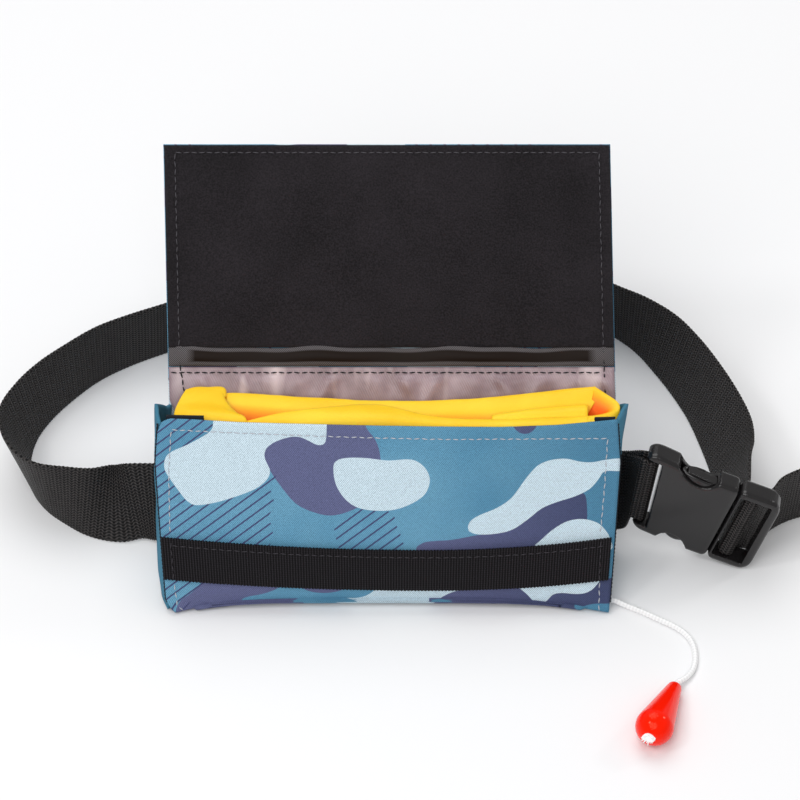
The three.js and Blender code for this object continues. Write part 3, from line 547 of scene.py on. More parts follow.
def cordPiece():
    route = [Vector(point) for point in cord["route"]]
    rings = cord["rings"]
    line = [smoothPath(route, i / rings) for i in range(rings + 1)]
    steps = runLengths(line)
    radius = cord["diameter"] / 2
    bm = bmesh.new()
    bmesh.ops.create_grid(bm, x_segments=cord["around"], y_segments=rings, size=0.5)
    strand = bm.verts.layers.float.new("strand")
    for vert in bm.verts:
        i = round((vert.co.y + 0.5) * rings)
        angle = (vert.co.x + 0.5) * 2 * math.pi
        run = (line[min(i + 1, rings)] - line[max(i - 1, 0)]).normalized()
        sideways = run.cross(Vector((0, 0, 1))).normalized()
        upward = sideways.cross(run)
        turn = 2 * math.pi * steps[i] / cord["strandPitch"]
        weave = math.cos(2 * angle + turn) * math.cos(2 * angle - turn)
        vert[strand] = 0.5 + 0.5 * weave
        out = radius * (1 + cord["strandDepth"] * weave)
        vert.co = inFrame(line[i] + (sideways * math.cos(angle) + upward * math.sin(angle)) * out)
        vert.co.z = max(vert.co.z, 0)
    closeTube(bm)
    piece = finishPiece("pullCordBraid", bm, "cord", ["pull_cord"])
    return piece, [inFrame(point) for point in line[::6]], steps[-1]


handle = {"radius": 8.8, "tipRadius": 3.4, "reach": 30.5, "heading": -112, "floorGap": 0.1, "bore": 2.2,
          "seatDepth": 3, "arcSteps": 22, "around": 64}


def handleAxis():
    end = Vector(cord["route"][-1])
    length = handle["reach"] + pouch["seatGap"]
    dip = math.asin((handle["radius"] + handle["floorGap"] - end.z) / length)
    heading = math.radians(handle["heading"])
    axis = Vector((math.cos(heading) * math.cos(dip), math.sin(heading) * math.cos(dip), math.sin(dip)))
    return axis, end + axis * length


def handlePiece():
    axis, ball = handleAxis()
    radius, tip, reach = handle["radius"], handle["tipRadius"], handle["reach"]
    cone = math.asin((radius - tip) / reach)
    rim = math.asin(handle["bore"] / radius)
    seat = radius - handle["seatDepth"]
    outline = [(0, seat), (handle["bore"], seat), (handle["bore"], radius * math.cos(rim) - 0.5)]
    for k in range(handle["arcSteps"]):
        angle = lerp(math.pi / 2 - rim - 0.06, -cone, k / (handle["arcSteps"] - 1))
        outline.append((radius * math.cos(angle), radius * math.sin(angle)))
    # the tip is rounded over about 2 mm
    outline += [(tip + 0.2, 1.8 - reach), (tip, 1.1 - reach), (tip - 0.35, 0.35 - reach), (tip - 1.1, -reach)]
    outline.append((0, -reach))
    bm = spunShape(outline, handle["around"])
    bmesh.ops.recalc_face_normals(bm, faces=bm.faces[:])
    bmesh.ops.transform(bm, matrix=Matrix.Translation(ball) @ turnTo(axis), verts=bm.verts[:])
    toFrame(bm)
    return finishPiece("pullHandleDrop", bm, "handle", ["pull_handle"])


# Knot: half sizes of the lump, and the frayed strands that fan out of it
knot = {
    "size": (2.9, 2.1, 1.3), "seat": 0.6, "unevenness": 0.22, "lumpScale": 2.4,
    "strands": 22, "strandTurn": 2.399, "strandLength": (1.5, 2.4), "strandSpread": (1.4, 2.5),
    "strandFlatness": 0.7, "strandFrom": 1.3, "strandRadii": (0.36, 0.2),
}


def knotPiece():
    # A flat lump of white yarn that fills the handle's bore, with frayed strands lying over its rim
    axis, ball = handleAxis()
    middle = ball + axis * (handle["radius"] - knot["seat"])
    turn = turnTo(axis)
    bm = bmesh.new()
    bmesh.ops.create_icosphere(bm, subdivisions=4, radius=1)
    for vert in bm.verts:
        lump = 1 + knot["unevenness"] * noise.noise(vert.co * knot["lumpScale"])
        vert.co = Vector(side * half for side, half in zip(vert.co, knot["size"])) * lump
    bmesh.ops.transform(bm, matrix=Matrix.Translation(middle) @ turn, verts=bm.verts[:])
    for k in range(knot["strands"]):
        spin = k * knot["strandTurn"]
        spread = lerp(*knot["strandSpread"], (k % 4) / 3)
        lean = Vector((math.cos(spin) * spread, math.sin(spin) * spread * knot["strandFlatness"], 1))
        lean.normalize()
        way = (turn.to_3x3() @ lean).normalized()
        length = lerp(*knot["strandLength"], ((k * 7) % 5) / 4)
        place = Matrix.Translation(middle + way * (knot["strandFrom"] + length / 2)) @ turnTo(way)
        bmesh.ops.create_cone(bm, cap_ends=True, segments=6, radius1=knot["strandRadii"][0],
                              radius2=knot["strandRadii"][1], depth=length, matrix=place)
    toFrame(bm)
    return finishPiece("frayedKnot", bm, "whiteYarn", ["cord_knot"])


cordLine, cordPath, cordLength = cordPiece()
handleDrop = handlePiece()
frayedKnot = knotPiece()
print("cord made, mm:", round(cordLength, 1))

# Printed pattern: common camouflage, charted on the front panel in mm, across and down
camo = {
    # past the bottom fold the chart repeats at this width, sliding by this share of the way
    "tileWidth": 216, "slide": 0.4,
    "pale": [
        [(-80, -12), (-80, -2), (-80.5, 2), (-83.5, 5), (-92, 10), (-99.5, 13.6), (-102.5, 17),
         (-102.9, 22), (-100.5, 26.6), (-96.5, 32.5), (-93, 37), (-88.5, 39.3), (-77.5, 37.2),
         (-62.5, 31.5), (-56, 26.5), (-54.1, 22), (-55.7, 18), (-56.7, 14.5), (-55.5, 11), (-51.5, 8),
         (-45.5, 5.8), (-40.5, 5.6), (-37, 7), (-32.5, 9.2), (-29.5, 9), (-28.3, 6.5), (-28, 0),
         (-28, -12)],
        [(-25, 20), (-23.5, 16.8), (-19, 15.4), (-10, 15.4), (0, 16.5), (10, 16), (15, 18), (18.3, 22),
         (19.3, 27),
         (17, 33), (11, 37.5), (3, 40.5), (-6, 41), (-14, 39.5), (-20, 35), (-24, 28)],
        [(37, 50), (38, 46.5), (42, 43.5), (50, 40), (56, 36), (60, 31), (64, 25), (69, 19.5), (75, 17),
         (82, 16.5),
         (88, 18), (94, 18.5), (100, 17.5), (108, 17), (112, 19.5), (108, 23), (100, 23), (97, 27),
         (93, 31.5),
         (86, 35), (78, 37.5), (71, 40.5), (65, 45.5), (58, 50.5), (51, 52.5), (43, 53), (38.5, 52)],
        [(68, 61), (72, 55), (77, 50.5), (83, 47), (90, 46), (97, 48), (101, 52), (103, 56), (103, 62),
         (85, 65)],
        [(-26, 88.5), (-20, 87), (-12, 85.5), (-8, 83), (-6, 80.5), (-4, 75), (18, 72), (40, 75), (36, 80),
         (28, 83.5), (22, 89), (16, 98), (-2, 100), (-12, 96), (-20, 91)],
        [(56, 74), (61, 80), (65, 84), (68, 88), (71, 89.5), (74, 88), (77, 84), (81, 83), (88, 83.5),
         (93, 82.5),
         (97, 79), (98, 74), (80, 71)],
    ],
    "navy": [
        [(-32, -12), (-12, -12), (-11, -3), (-9.5, 1.5), (-5.5, 7), (-3.5, 14), (-4, 22), (-10, 36),
         (-17, 41), (-26, 43.5),
         (-34, 42), (-42, 38), (-48, 31), (-54, 22), (-57, 14), (-56, 9.5), (-48, 4), (-36, 2)],
        [(14, 61), (16, 57), (22, 56), (30, 55.5), (40, 53.5), (50, 52), (58, 49), (65, 44), (71, 39.5),
         (79, 36),
         (88, 33), (91, 34), (92, 40), (91.5, 49), (84, 54), (74, 60), (60, 64), (36, 64)],
        [(56, -4), (58, 1.5), (61, 4), (65, 4), (68, 1), (70, -4)],
        [(-101, 97), (-98, 88), (-92, 83), (-87, 78), (-85, 73), (-46, 73), (-51, 80), (-58, 83.5),
         (-66, 85.5),
         (-68.5, 87.5), (-65, 89.5), (-56, 88.5), (-47, 87), (-40, 88), (-42, 93), (-60, 100)],
        [(-42, 74), (-40, 80), (-35, 82.5), (-28, 83), (-22, 81.5), (-18, 78), (-17, 73)],
        [(17, 96), (22, 88), (27, 83.5), (35, 79), (45, 76.5), (55, 75.5), (60, 73), (98, 76), (108, 74),
         (111, 80),
         (108, 86), (103, 88), (96, 88.5), (90, 91), (84, 96), (60, 99), (40, 98), (25, 93)],
    ],
    "hatch": [
        [(-116, -6), (-79, -6), (-78, 6), (-90, 30), (-52, 22), (-51, 28), (-54, 31), (-52, 38), (-55, 44),
         (-53, 52), (-55, 60), (-78, 64), (-86, 80), (-96, 92), (-102, 104), (-116, 104)],
        [(-25, 50), (-22, 44), (-12, 39), (-2, 40), (3, 43), (4, 48), (6, 53), (8, 60), (-8, 62),
         (-23, 60)],
    ],
}


def closedOutline(points, steps=4):
    line = []
    count = len(points)
    for i in range(count):
        a, b, c, d = (np.array(points[(i + k) % count], float) for k in (-1, 0, 1, 2))
        for k in range(steps):
            t = k / steps
            line.append(b + 0.5 * t * (c - a + t * (2 * a - 5 * b + 4 * c - d + t * (3 * (b - c) + d - a))))
    return np.array(line)


def signedDistance(points, line):
    # Distance in mm to a closed outline, below zero inside it
    ends = np.roll(line, -1, axis=0)
    best = np.full(len(points), 1e9)
    inside = np.zeros(len(points), bool)
    for a, b in zip(line, ends):
        edge = b - a
        t = np.clip(((points - a) @ edge) / max(edge @ edge, 1e-9), 0, 1)
        best = np.minimum(best, np.hypot(*(points - a - t[:, None] * edge).T))
        spans = (a[1] > points[:, 1]) != (b[1] > points[:, 1])
        with np.errstate(divide="ignore", invalid="ignore"):
            cross = (b[0] - a[0]) * (points[:, 1] - a[1]) / (b[1] - a[1]) + a[0]
        inside ^= spans & (points[:, 0] < cross)
    return np.where(inside, -best, best)


def printCamo(piece, places):
    # Past the bottom fold the chart is repeated, turned back and slid sideways
    height = pouch["frontHeight"]
    charted = []
    for x, reach in places:
        if reach <= height:
            charted.append((x, reach))
            continue
        past = (reach - height) % (2 * height)
        charted.append((x + camo["slide"] * (reach - height), abs(height - past)))
    charted = np.array(charted)
    width = camo["tileWidth"]
    beyond = np.array([reach > height for _, reach in places])
    charted[beyond, 0] = (charted[beyond, 0] + width / 2) % width - width / 2
    for mask in ("pale", "navy", "hatch"):
        value = np.full(len(charted), 1e9)
        for outline in camo[mask]:
            line = closedOutline(outline) if mask != "hatch" else np.array(outline, float)
            for slide in (-width, 0, width):
                distance = signedDistance(charted + np.array([slide, 0]), line)
                if slide:
                    distance = np.where(beyond, distance, 1e9)
                value = np.minimum(value, distance)
        layer = piece.data.attributes.new(mask, "FLOAT", "POINT")
        layer.data.foreach_set("value", value.astype(np.float32))


# Pouch body: one strip of cloth from the front hem to the flap's edge
body = {
    "spacing": 1.5, "thinner": 0.2, "sunk": 0.2, "liftShare": 0.8,
    # depth and size of the wide and the small dents
    "dent": (0.6, 38), "smallDent": (0.25, 13),
    # puckers below the hem: depth, size, middle and half height
    "pucker": (0.35, 4.5, 7, 4),
    # the corner of the bottom fold on the left is rounded
    "cornerCut": 4.2, "cornerReach": 8, "cornerShare": 0.14,
    # how far the hem stands above or below the straight edge, at shares of the half width
    "hemSides": [-1, -0.985, -0.95, -0.85, -0.65, -0.3, 0, 0.49, 0.73, 0.92, 1],
    "hemRise": [-4.0, 0.4, 2.1, 1.9, 0.9, 0.3, -0.3, -1.2, -0.6, 0.9, 1.6], "hemReach": 22,
}


def bodyLift(side, reach):
    if bottomAt + 4 < reach < heelAt - 2:  # flat where it lies on the floor
        return -body["sunk"]
    x = side * widthAt(reach) / 2
    depth, size, middle, half = body["pucker"]
    pucker = depth * math.exp(-((reach - middle) / half) ** 2) * ripple(x, 0, size, 5.5)
    dent = body["dent"][0] * ripple(x, reach, body["dent"][1], 3.1)
    dent += body["smallDent"][0] * ripple(x, reach, body["smallDent"][1], 8.4)
    edge = clamp((1 - abs(side)) * 12, 0, 1)
    rim = clamp(min(reach, profileEnd - reach) / 5, 0.25, 1)
    return (dent * rim * edge + pucker) * body["liftShare"] - body["sunk"]


def bodyAt(u, v):  # across and down the cloth in mm, with the uneven hem
    side, reach = 2 * u - 1, v * profileEnd
    rise = float(np.interp(side, body["hemSides"], body["hemRise"]))
    return side, reach - rise * clamp(1 - reach / body["hemReach"], 0, 1)


def cornerShift(side, reach):
    fold = clamp(1 - abs(reach - bottomAt) / body["cornerReach"], 0, 1) ** 1.6
    return body["cornerCut"] * fold * clamp(1 - (1 + side) / body["cornerShare"], 0, 1)


def bodyPlace(u, v):
    side, reach = bodyAt(u, v)
    point = clothPoint(side, reach, bodyLift(side, reach))
    point.x += cornerShift(side, reach)
    point.z = max(point.z, 0.02)
    return point


def bodyCloth():
    def printed(u, v):
        side, reach = bodyAt(u, v)
        return side * widthAt(reach) / 2, reach
    piece = gridPiece(
        "bodyCloth", (210, profileEnd), body["spacing"], bodyPlace,
        "camo", (0, 1, -0.2), ["pouch_body"],
        thick=pouch["clothThick"] - body["thinner"], uvPlace=printed)
    uvLayer = piece.data.uv_layers["cloth"].data
    places = [None] * len(piece.data.vertices)
    for loop in piece.data.loops:
        places[loop.vertex_index] = tuple(value / mm for value in uvLayer[loop.index].uv)
    printCamo(piece, places)


bodyCloth()
print("pouch body made")

# Hook tape across the front, drooping at its middle
hook = {
    "low": 18.1, "width": 20.5, "sag": 5.5, "lowest": 0.21, "left": -1.0, "right": 0.985, "thick": 1.8,
    "length": 205, "teeth": 260, "toothDepth": 0.22, "sunk": 0.25, "softness": 0.2, "thinner": 0.35,
}
hookTop = bottomAt - hook["low"] - hook["width"]


def hookSag(side):
    off = side - hook["lowest"]
    span = 1 - hook["lowest"] if off > 0 else 1 + hook["lowest"]
    return hook["sag"] * (1 - (off / span) ** 2)


def hookPlace(u, v):
    side = lerp(hook["left"], hook["right"], u)
    reach = hookTop + hook["width"] * v + hookSag(side)
    if v in (0.0, 1.0):  # the selvedges are finely toothed
        reach += hook["toothDepth"] * (1 if round(u * hook["teeth"]) % 2 else -1)
    soft = hook["softness"] * ripple(u * 200, v * 20, 16, 1.2)
    return clothPoint(side, reach, pouch["seatGap"] + hook["thick"] - hook["sunk"] + soft)


gridPiece("hookTape", (hook["length"], hook["width"]), hook["length"] / hook["teeth"], hookPlace,
          "hook",
          (0, -1, 0.2), ["hook_strip"], thick=hook["thick"] - hook["thinner"])

# Layers on the flap's inner side
flap = {
    "hem": 1.5, "loopLength": 94, "loopThick": 1.6, "loopSpacing": 1.6, "loopRim": 0.4,
    "seamInset": 2.6, "seamSide": 99.5, "seamDip": 0.35, "loopSoftness": 0.45,
    "ribbonWidth": 8.5, "ribbonSpacing": 1.1, "ribbonLift": 1.2, "ribbonThick": 0.5, "inset": 0.4,
    "liningThick": 1.0, "liningDrop": 59, "liningSpacing": 1.5, "liningSheet": 0.5,
}
inside = -(pouch["clothThick"] + pouch["seatGap"])
loopEnd = profileEnd - flap["hem"]
loopStart = loopEnd - flap["loopLength"]
ribbonStart = loopStart - pouch["seatGap"] - flap["ribbonWidth"]
flapSide = 1 - 2 * flap["inset"] / pouch["flapWidth"]
loopRim = 1 - 2 * flap["loopRim"] / pouch["flapWidth"]


def loopPlace(u, v):
    side, reach = lerp(-loopRim, loopRim, u), lerp(loopStart, loopEnd + 1.0, v)
    x = side * pouch["flapWidth"] / 2
    seam = min(abs(abs(x) - flap["seamSide"]), abs(reach - (loopEnd - flap["seamInset"])))
    dip = -flap["seamDip"] * math.exp(-(seam / 1.1) ** 2)
    soft = flap["loopSoftness"] * ripple(x, reach, 34, 2.2) + dip
    return clothPoint(side, reach, inside - flap["loopThick"] + 0.3 - soft)


gridPiece("loopPanel", (207, flap["loopLength"]), flap["loopSpacing"], loopPlace, "loop", (0, -1, 1),
          ["flap_loop_panel"], thick=flap["loopThick"] - 0.6)


def ribbonPlace(u, v):
    side = lerp(-flapSide, flapSide, u)
    held = clamp((1 - abs(side)) * 9, 0, 1)
    wave = held * (0.55 * math.sin(u * 21 + 0.6) + 0.35 * math.sin(u * 43)) * v
    crown = math.sin(math.pi * clamp(v, 0, 1))
    lift = flap["ribbonLift"] + held * (1.0 + 0.7 * math.sin(u * 19 + 1)) * crown
    reach = lerp(ribbonStart, loopStart + 0.2, v) + wave
    return clothPoint(side, reach, inside - lift)


gridPiece("ribbonBand", (207, 9), flap["ribbonSpacing"], ribbonPlace, "ribbon", (0, -1, 1),
          ["flap_ribbon"], thick=flap["ribbonThick"])

liningTop = ribbonStart - pouch["seatGap"]
liningSide = 1 - 2 * (pouch["clothThick"] + 2.6) / pouch["flapWidth"]
# Puckers below the lining's seam: middle across the flap, width and height in mm, and lean
pleats = [(-92, 3, 1.2, 0.5), (-74, 3, 1.0, 0.7), (-60, 5, 1.3, 0.4), (-43, 6, 0.9, -0.3),
          (-26, 3.5, 1.5, -0.5),
          (-9, 4, 0.9, 0.3), (3, 3, 1.4, 0.5), (12, 6, 0.9, -0.4), (24, 3.5, 1.5, -0.5), (36, 5, 1.0, 0.4),
          (47, 3, 1.5, 0.6), (60, 6, 1.0, -0.3), (73, 4, 1.3, -0.5), (86, 3, 1.2, 0.4), (96, 3, 1.4, 0.6)]


def liningPlace(u, v):
    reach = lerp(liningTop - flap["liningDrop"], liningTop, v)
    top = clamp((v - 0.63) / 0.11, 0, 1)
    side = lerp(-1, 1, u) * lerp(liningSide, flapSide, top)
    x = side * pouch["flapWidth"] / 2
    down = liningTop - reach
    held = clamp((down - 3.4) / 3.2, 0, 1) * math.exp(-down / 17)
    lift = 0
    for middle, width, height, lean in pleats:
        lift += 2.1 * height * held * math.exp(-(((x - middle - lean * down) / width) ** 2))
    seam = -flap["seamDip"] * math.exp(-((down - flap["seamInset"]) / 0.9) ** 2)
    return clothPoint(side, reach, inside - flap["liningThick"] + 0.2 - lift - seam)


gridPiece("liningCloth", (200, flap["liningDrop"]), flap["liningSpacing"], liningPlace, "lining",
          (0, -1, 1), ["mouth_lining"], thick=flap["liningSheet"])
print("flap layers made")

# Gussets and the seam edges beside the front panel
gusset = {
    "bulge": 6.5, "crease": 0.7, "softness": 0.6, "thick": 1.5, "lowest": 0.06, "backDrop": 2,
    # share of the bulge at shares of the height
    "rise": [0.0, 0.3, 0.6, 0.85, 1.0],
    "left": [0.35, 0.85, 0.62, 0.55, 0.55],
    "right": [0.10, 0.12, 0.15, 0.35, 0.78],
    "topRise": 4.6, "topFrom": 0.72,
}
overlock = {
    "radius": 0.5, "stitchDepth": 0.14, "stitches": 46, "sunk": 1.1, "out": 0.15, "endGap": 6, "thick": 0.4,
}
gussetSeat = pouch["clothThick"] + pouch["seatGap"]


def gussetPlace(hand):
    shares = gusset["left" if hand < 0 else "right"]

    def place(u, v):
        rise = lerp(gusset["lowest"], 1, v)
        floorMiddle = (bottomAt + heelAt) / 2
        front = clothPoint(hand, lerp(floorMiddle, 0.5, rise), -gussetSeat)
        back = clothPoint(hand, lerp(floorMiddle, hingeAt - gusset["backDrop"], rise), -gussetSeat)
        point = front.lerp(back, u)
        share = float(np.interp(rise, gusset["rise"], shares))
        belly = math.sin(math.pi * u)
        crease = gusset["crease"] * math.sin(3 * math.pi * u + 2.2 * rise) * belly
        soft = gusset["softness"] * ripple(u * 30, v * 90, 14, hand + 4)
        point.x += hand * (belly * (gusset["bulge"] * share + crease + soft) - 0.1)
        top = clamp((v - gusset["topFrom"]) / (1 - gusset["topFrom"]), 0, 1)
        high = gusset["topRise"] * top * math.sin(math.pi * clamp(u * 1.15, 0, 1)) ** 0.8
        return point + Vector((0, leanSin, leanCos)) * high
    return place


def seamPlace(hand):
    # Overlocked edge: a rounded black cord of stitches that runs down beside the front panel
    def place(u, v):
        reach = lerp(0.5, bottomAt - overlock["endGap"], v)
        angle = lerp(-0.5 * math.pi, 0.75 * math.pi, u)
        bulge = overlock["stitchDepth"] * math.sin(2 * math.pi * v * overlock["stitches"] + 2 * u)
        radius = overlock["radius"] + bulge
        point = clothPoint(hand, reach, radius * math.sin(angle) - overlock["sunk"])
        point.x += hand * (overlock["out"] + radius * math.cos(angle)) + cornerShift(hand, reach)
        return point
    return place


for name, hand in (("Left", -1), ("Right", 1)):
    gridPiece("gusset" + name, (44, 90), 1.4, gussetPlace(hand), "teal", (hand, 0, 0),
              ["gusset_" + name.lower()], thick=gusset["thick"])
    gridPiece("overlock" + name, (8, 86), 0.55, seamPlace(hand), "overlock", (hand, -0.3, 0),
              ["seam_binding_" + name.lower()], thick=overlock["thick"])

# Ends of the black tape behind the hem: shares of the half width, and how far each stands up, in mm
mouthTapes = {"Left": (-0.965, -0.8, 3.4, 3.4), "Right": (0.9, 0.99, 0, 2.4)}


def tapePlace(sideFrom, sideTo, standFrom, standTo):
    def place(u, v):
        drop = lerp(7, -lerp(standFrom, standTo, v), v)
        point = clothPoint(lerp(sideFrom, sideTo, u), 0, -(gussetSeat + 0.1))
        return point + Vector((0.15 * math.sin(v * 40), -leanSin * drop, -leanCos * drop))
    return place


for name, ends in mouthTapes.items():
    gridPiece("mouthTape" + name, (16, 9), 0.7, tapePlace(*ends), "overlock", (0, -1, 0.3),
              ["mouth_tape_" + name.lower()], thick=0.9)
print("gussets and edges made")


# Folded bladder: layers given as small nets of (across, depth from the front panel, height up the panel)
def inPouch(across, depth, height):
    return Vector((across, height * leanSin + depth * leanCos, height * leanCos - depth * leanSin))


bladder = {
    "back": [
        [(-90, 29, 60), (-75, 31, 60), (-40, 31, 60), (0, 31, 60), (45, 31, 60), (80, 31, 60),
         (97, 29, 60)],
        [(-88, 30, 92), (-75, 31, 95), (-40, 32, 94), (0, 32, 92), (45, 32, 93), (80, 32, 98),
         (98, 28, 96)],
        [(-86, 29, 99.5), (-75, 30, 100.6), (-40, 30, 98.8), (0, 30, 96.8), (45, 30, 98.2), (80, 29, 102.6),
         (96.5, 26, 105)],
        [(-86, 26, 99), (-75, 25, 99), (-40, 24, 96.6), (0, 24, 94.6), (45, 24, 95.4), (80, 23, 99.4),
         (97, 22, 101)],
        [(-88, 22, 94), (-75, 20, 93.5), (-40, 19, 91), (0, 19, 89), (45, 19, 88), (80, 17, 89),
         (92, 18, 91)],
        [(-88, 15, 80), (-75, 13, 78), (-40, 13, 76), (0, 13, 76), (45, 13, 74), (80, 12, 74),
         (92, 14, 76)],
    ],
    "front": [
        [(-70, 4.5, 74), (-50, 4.5, 74), (-25, 5, 74), (0, 5, 74), (30, 5, 74), (60, 5, 74), (98, 6, 74)],
        [(-68, 4.5, 91), (-50, 4.5, 93), (-25, 5, 94.4), (0, 5, 94.6), (30, 5, 92), (60, 5, 92),
         (101, 6, 92)],
        [(-66, 5.5, 94), (-50, 8, 96.6), (-25, 11, 98.4), (0, 12, 98.4), (28, 9, 94.6), (60, 9, 94.2),
         (102, 9, 95)],
        [(-64, 7.5, 93.8), (-48, 11, 96.8), (-25, 16, 98.2), (-6, 18.5, 98.4), (22, 12, 93.2),
         (60, 12, 93.4),
         (98, 12, 95)],
        [(-63, 9, 89), (-46, 13, 90), (-25, 19, 90), (-4, 21, 90), (22, 14, 87), (60, 14, 88),
         (94, 14, 89)],
    ],
    "corner": [
        [(-98.5, 8, 84), (-93, 7, 84), (-84, 6, 84), (-74, 6, 84), (-64, 5, 84)],
        [(-98.5, 12, 95), (-93, 9, 95.4), (-84, 7, 95.8), (-74, 6, 95.4), (-65, 5.5, 94.8)],
        [(-97.5, 18, 98), (-92, 18, 98.6), (-84, 17, 99), (-77, 16, 98.6), (-70, 11, 96)],
        [(-95, 25, 101.4), (-90, 26, 102.2), (-84, 26, 102.4), (-78, 26, 102), (-76, 21, 99)],
        [(-94, 28, 102), (-90, 30, 102.6), (-84, 30, 102.8), (-77, 30, 102.6), (-76, 25, 100)],
        [(-94, 30, 96), (-90, 32, 96), (-84, 32, 96), (-77, 31.5, 96), (-76.5, 27, 95)],
    ],
    "rightEnd": [
        [(96, 27.5, 90), (101, 25, 90), (105.5, 20, 89), (107, 15, 88), (102, 8, 87), (92, 6, 86)],
        [(96, 27.5, 101), (101, 25.6, 99.6), (106.6, 21, 97), (107.6, 16, 95), (102.4, 9.4, 93.4),
         (92, 6, 92.8)],
        [(96, 26, 105.2), (101, 23.6, 102.4), (107.2, 19.6, 98.8), (107, 16, 96.6), (101, 11, 95.6),
         (92, 8.6, 95)],
        [(95, 22, 101), (99, 20.6, 99), (103, 18, 96.6), (102.6, 16.6, 95.6), (98, 13.8, 94.8),
         (92, 12, 94.6)],
        [(92, 20, 91), (96, 19, 91), (99, 17.4, 91), (98.6, 16.6, 91), (96, 15.4, 91), (92, 14.6, 91)],
    ],
    "tab": [
        [(48, 10, 93), (62, 11, 93.6), (76, 12, 94), (92.5, 12.5, 94.2)],
        [(48, 12.5, 94.6), (62, 13.5, 96), (76, 14.5, 96.8), (92.5, 15, 97.6)],
        [(48, 15, 94.4), (62, 17, 96.4), (76, 18.4, 97.6), (92.5, 19, 98.4)],
        [(48, 17, 91), (62, 18.5, 92), (76, 20, 93), (92.5, 20.5, 93.6)],
    ],
}


# Size of each net in mm, flat size of the layer in mm, and the shares of the net between which the cloth
# is painted with orange shade, down in its fold
bladderSizes = {
    "back": ((190, 70), (190, 68.4), (0.66, 0.84)),
    "front": ((175, 46), (175, 33.9), (1, 2)),
    "corner": ((40, 46), (40, 28.4), (1, 2)),
    "rightEnd": ((36, 32), (36, 18), (0.6, 0.85)),
    "tab": ((45, 20), (45, 12.1), (1, 2)),
}
# Spacing and thickness of the cloth, and depth and size of its waves and of its creases
bladderSheet = {"spacing": 1.3, "thick": 0.9, "wave": (0.5, 21), "crease": (0.22, 7)}


def bladderLayer(name, net, size, orangeShadeShares, replaced):
    place = netPlace([[inPouch(*point) for point in row] for row in net])

    def soft(u, v):
        point = place(u, v)
        waveDepth, waveSize = bladderSheet["wave"]
        creaseDepth, creaseSize = bladderSheet["crease"]
        lift = waveDepth * ripple(point.x, v * 40, waveSize, len(name))
        lift += creaseDepth * ripple(point.x, v * 30, creaseSize, 2)
        return point + Vector((0, 0, lift * math.sin(math.pi * clamp(u, 0, 1)) ** 0.5))
    piece = gridPiece(name, size, bladderSheet["spacing"], soft, "bladder", (0, -1, 1), replaced,
                      thick=bladderSheet["thick"])
    # Painted shade: the fold mask turns the cloth orange down in its fold
    fold = piece.data.attributes.new("fold", "FLOAT", "POINT")
    strip = piece.data.uv_layers["strip"].data
    for loop in piece.data.loops:
        down = (strip[loop.index].uv[1] - orangeShadeShares[0]) / (orangeShadeShares[1] - orangeShadeShares[0])
        fold.data[loop.vertex_index].value = clamp(down, 0, 1)


for part, (size, flat, orangeShadeShares) in bladderSizes.items():
    bladderLayer("bladder" + part[0].upper() + part[1:], bladder[part], size, orangeShadeShares,
                 ["bladder"] if part == "back" else ())
print("bladder made")

# Buckle frame, as in the CAD, and the strap's stations round its bars
buckle = {
    "middle": (147.9, 40.2, 30.6), "length": (0.94, -0.19, -0.285), "crossing": (0.29, 0, 0.957),
    "socketLength": 42, "plugLength": 21, "barRadius": 2.1, "barInset": 0.8, "plugSlot": 4, "plugEdge": 1.5,
    # the strap end of the socket is a little wider and slants, as the photograph shows
    "endRise": 2.5, "endFlare": 0.5, "endShift": -1.25, "endSlant": -3.5, "endFrom": 2, "endLength": 26,
}
lengthAxis = Vector(buckle["length"]).normalized()
faceAxis = lengthAxis.cross(Vector(buckle["crossing"])).normalized()
widthAxis = faceAxis.cross(lengthAxis).normalized()
socketLeft = -(buckle["socketLength"] + pouch["seatGap"] + buckle["plugLength"]) / 2
socketBar = socketLeft + buckle["barRadius"] + buckle["barInset"]
plugBar = (socketLeft + buckle["socketLength"] + pouch["seatGap"] + buckle["plugEdge"] + buckle["plugSlot"]
           + buckle["barRadius"])

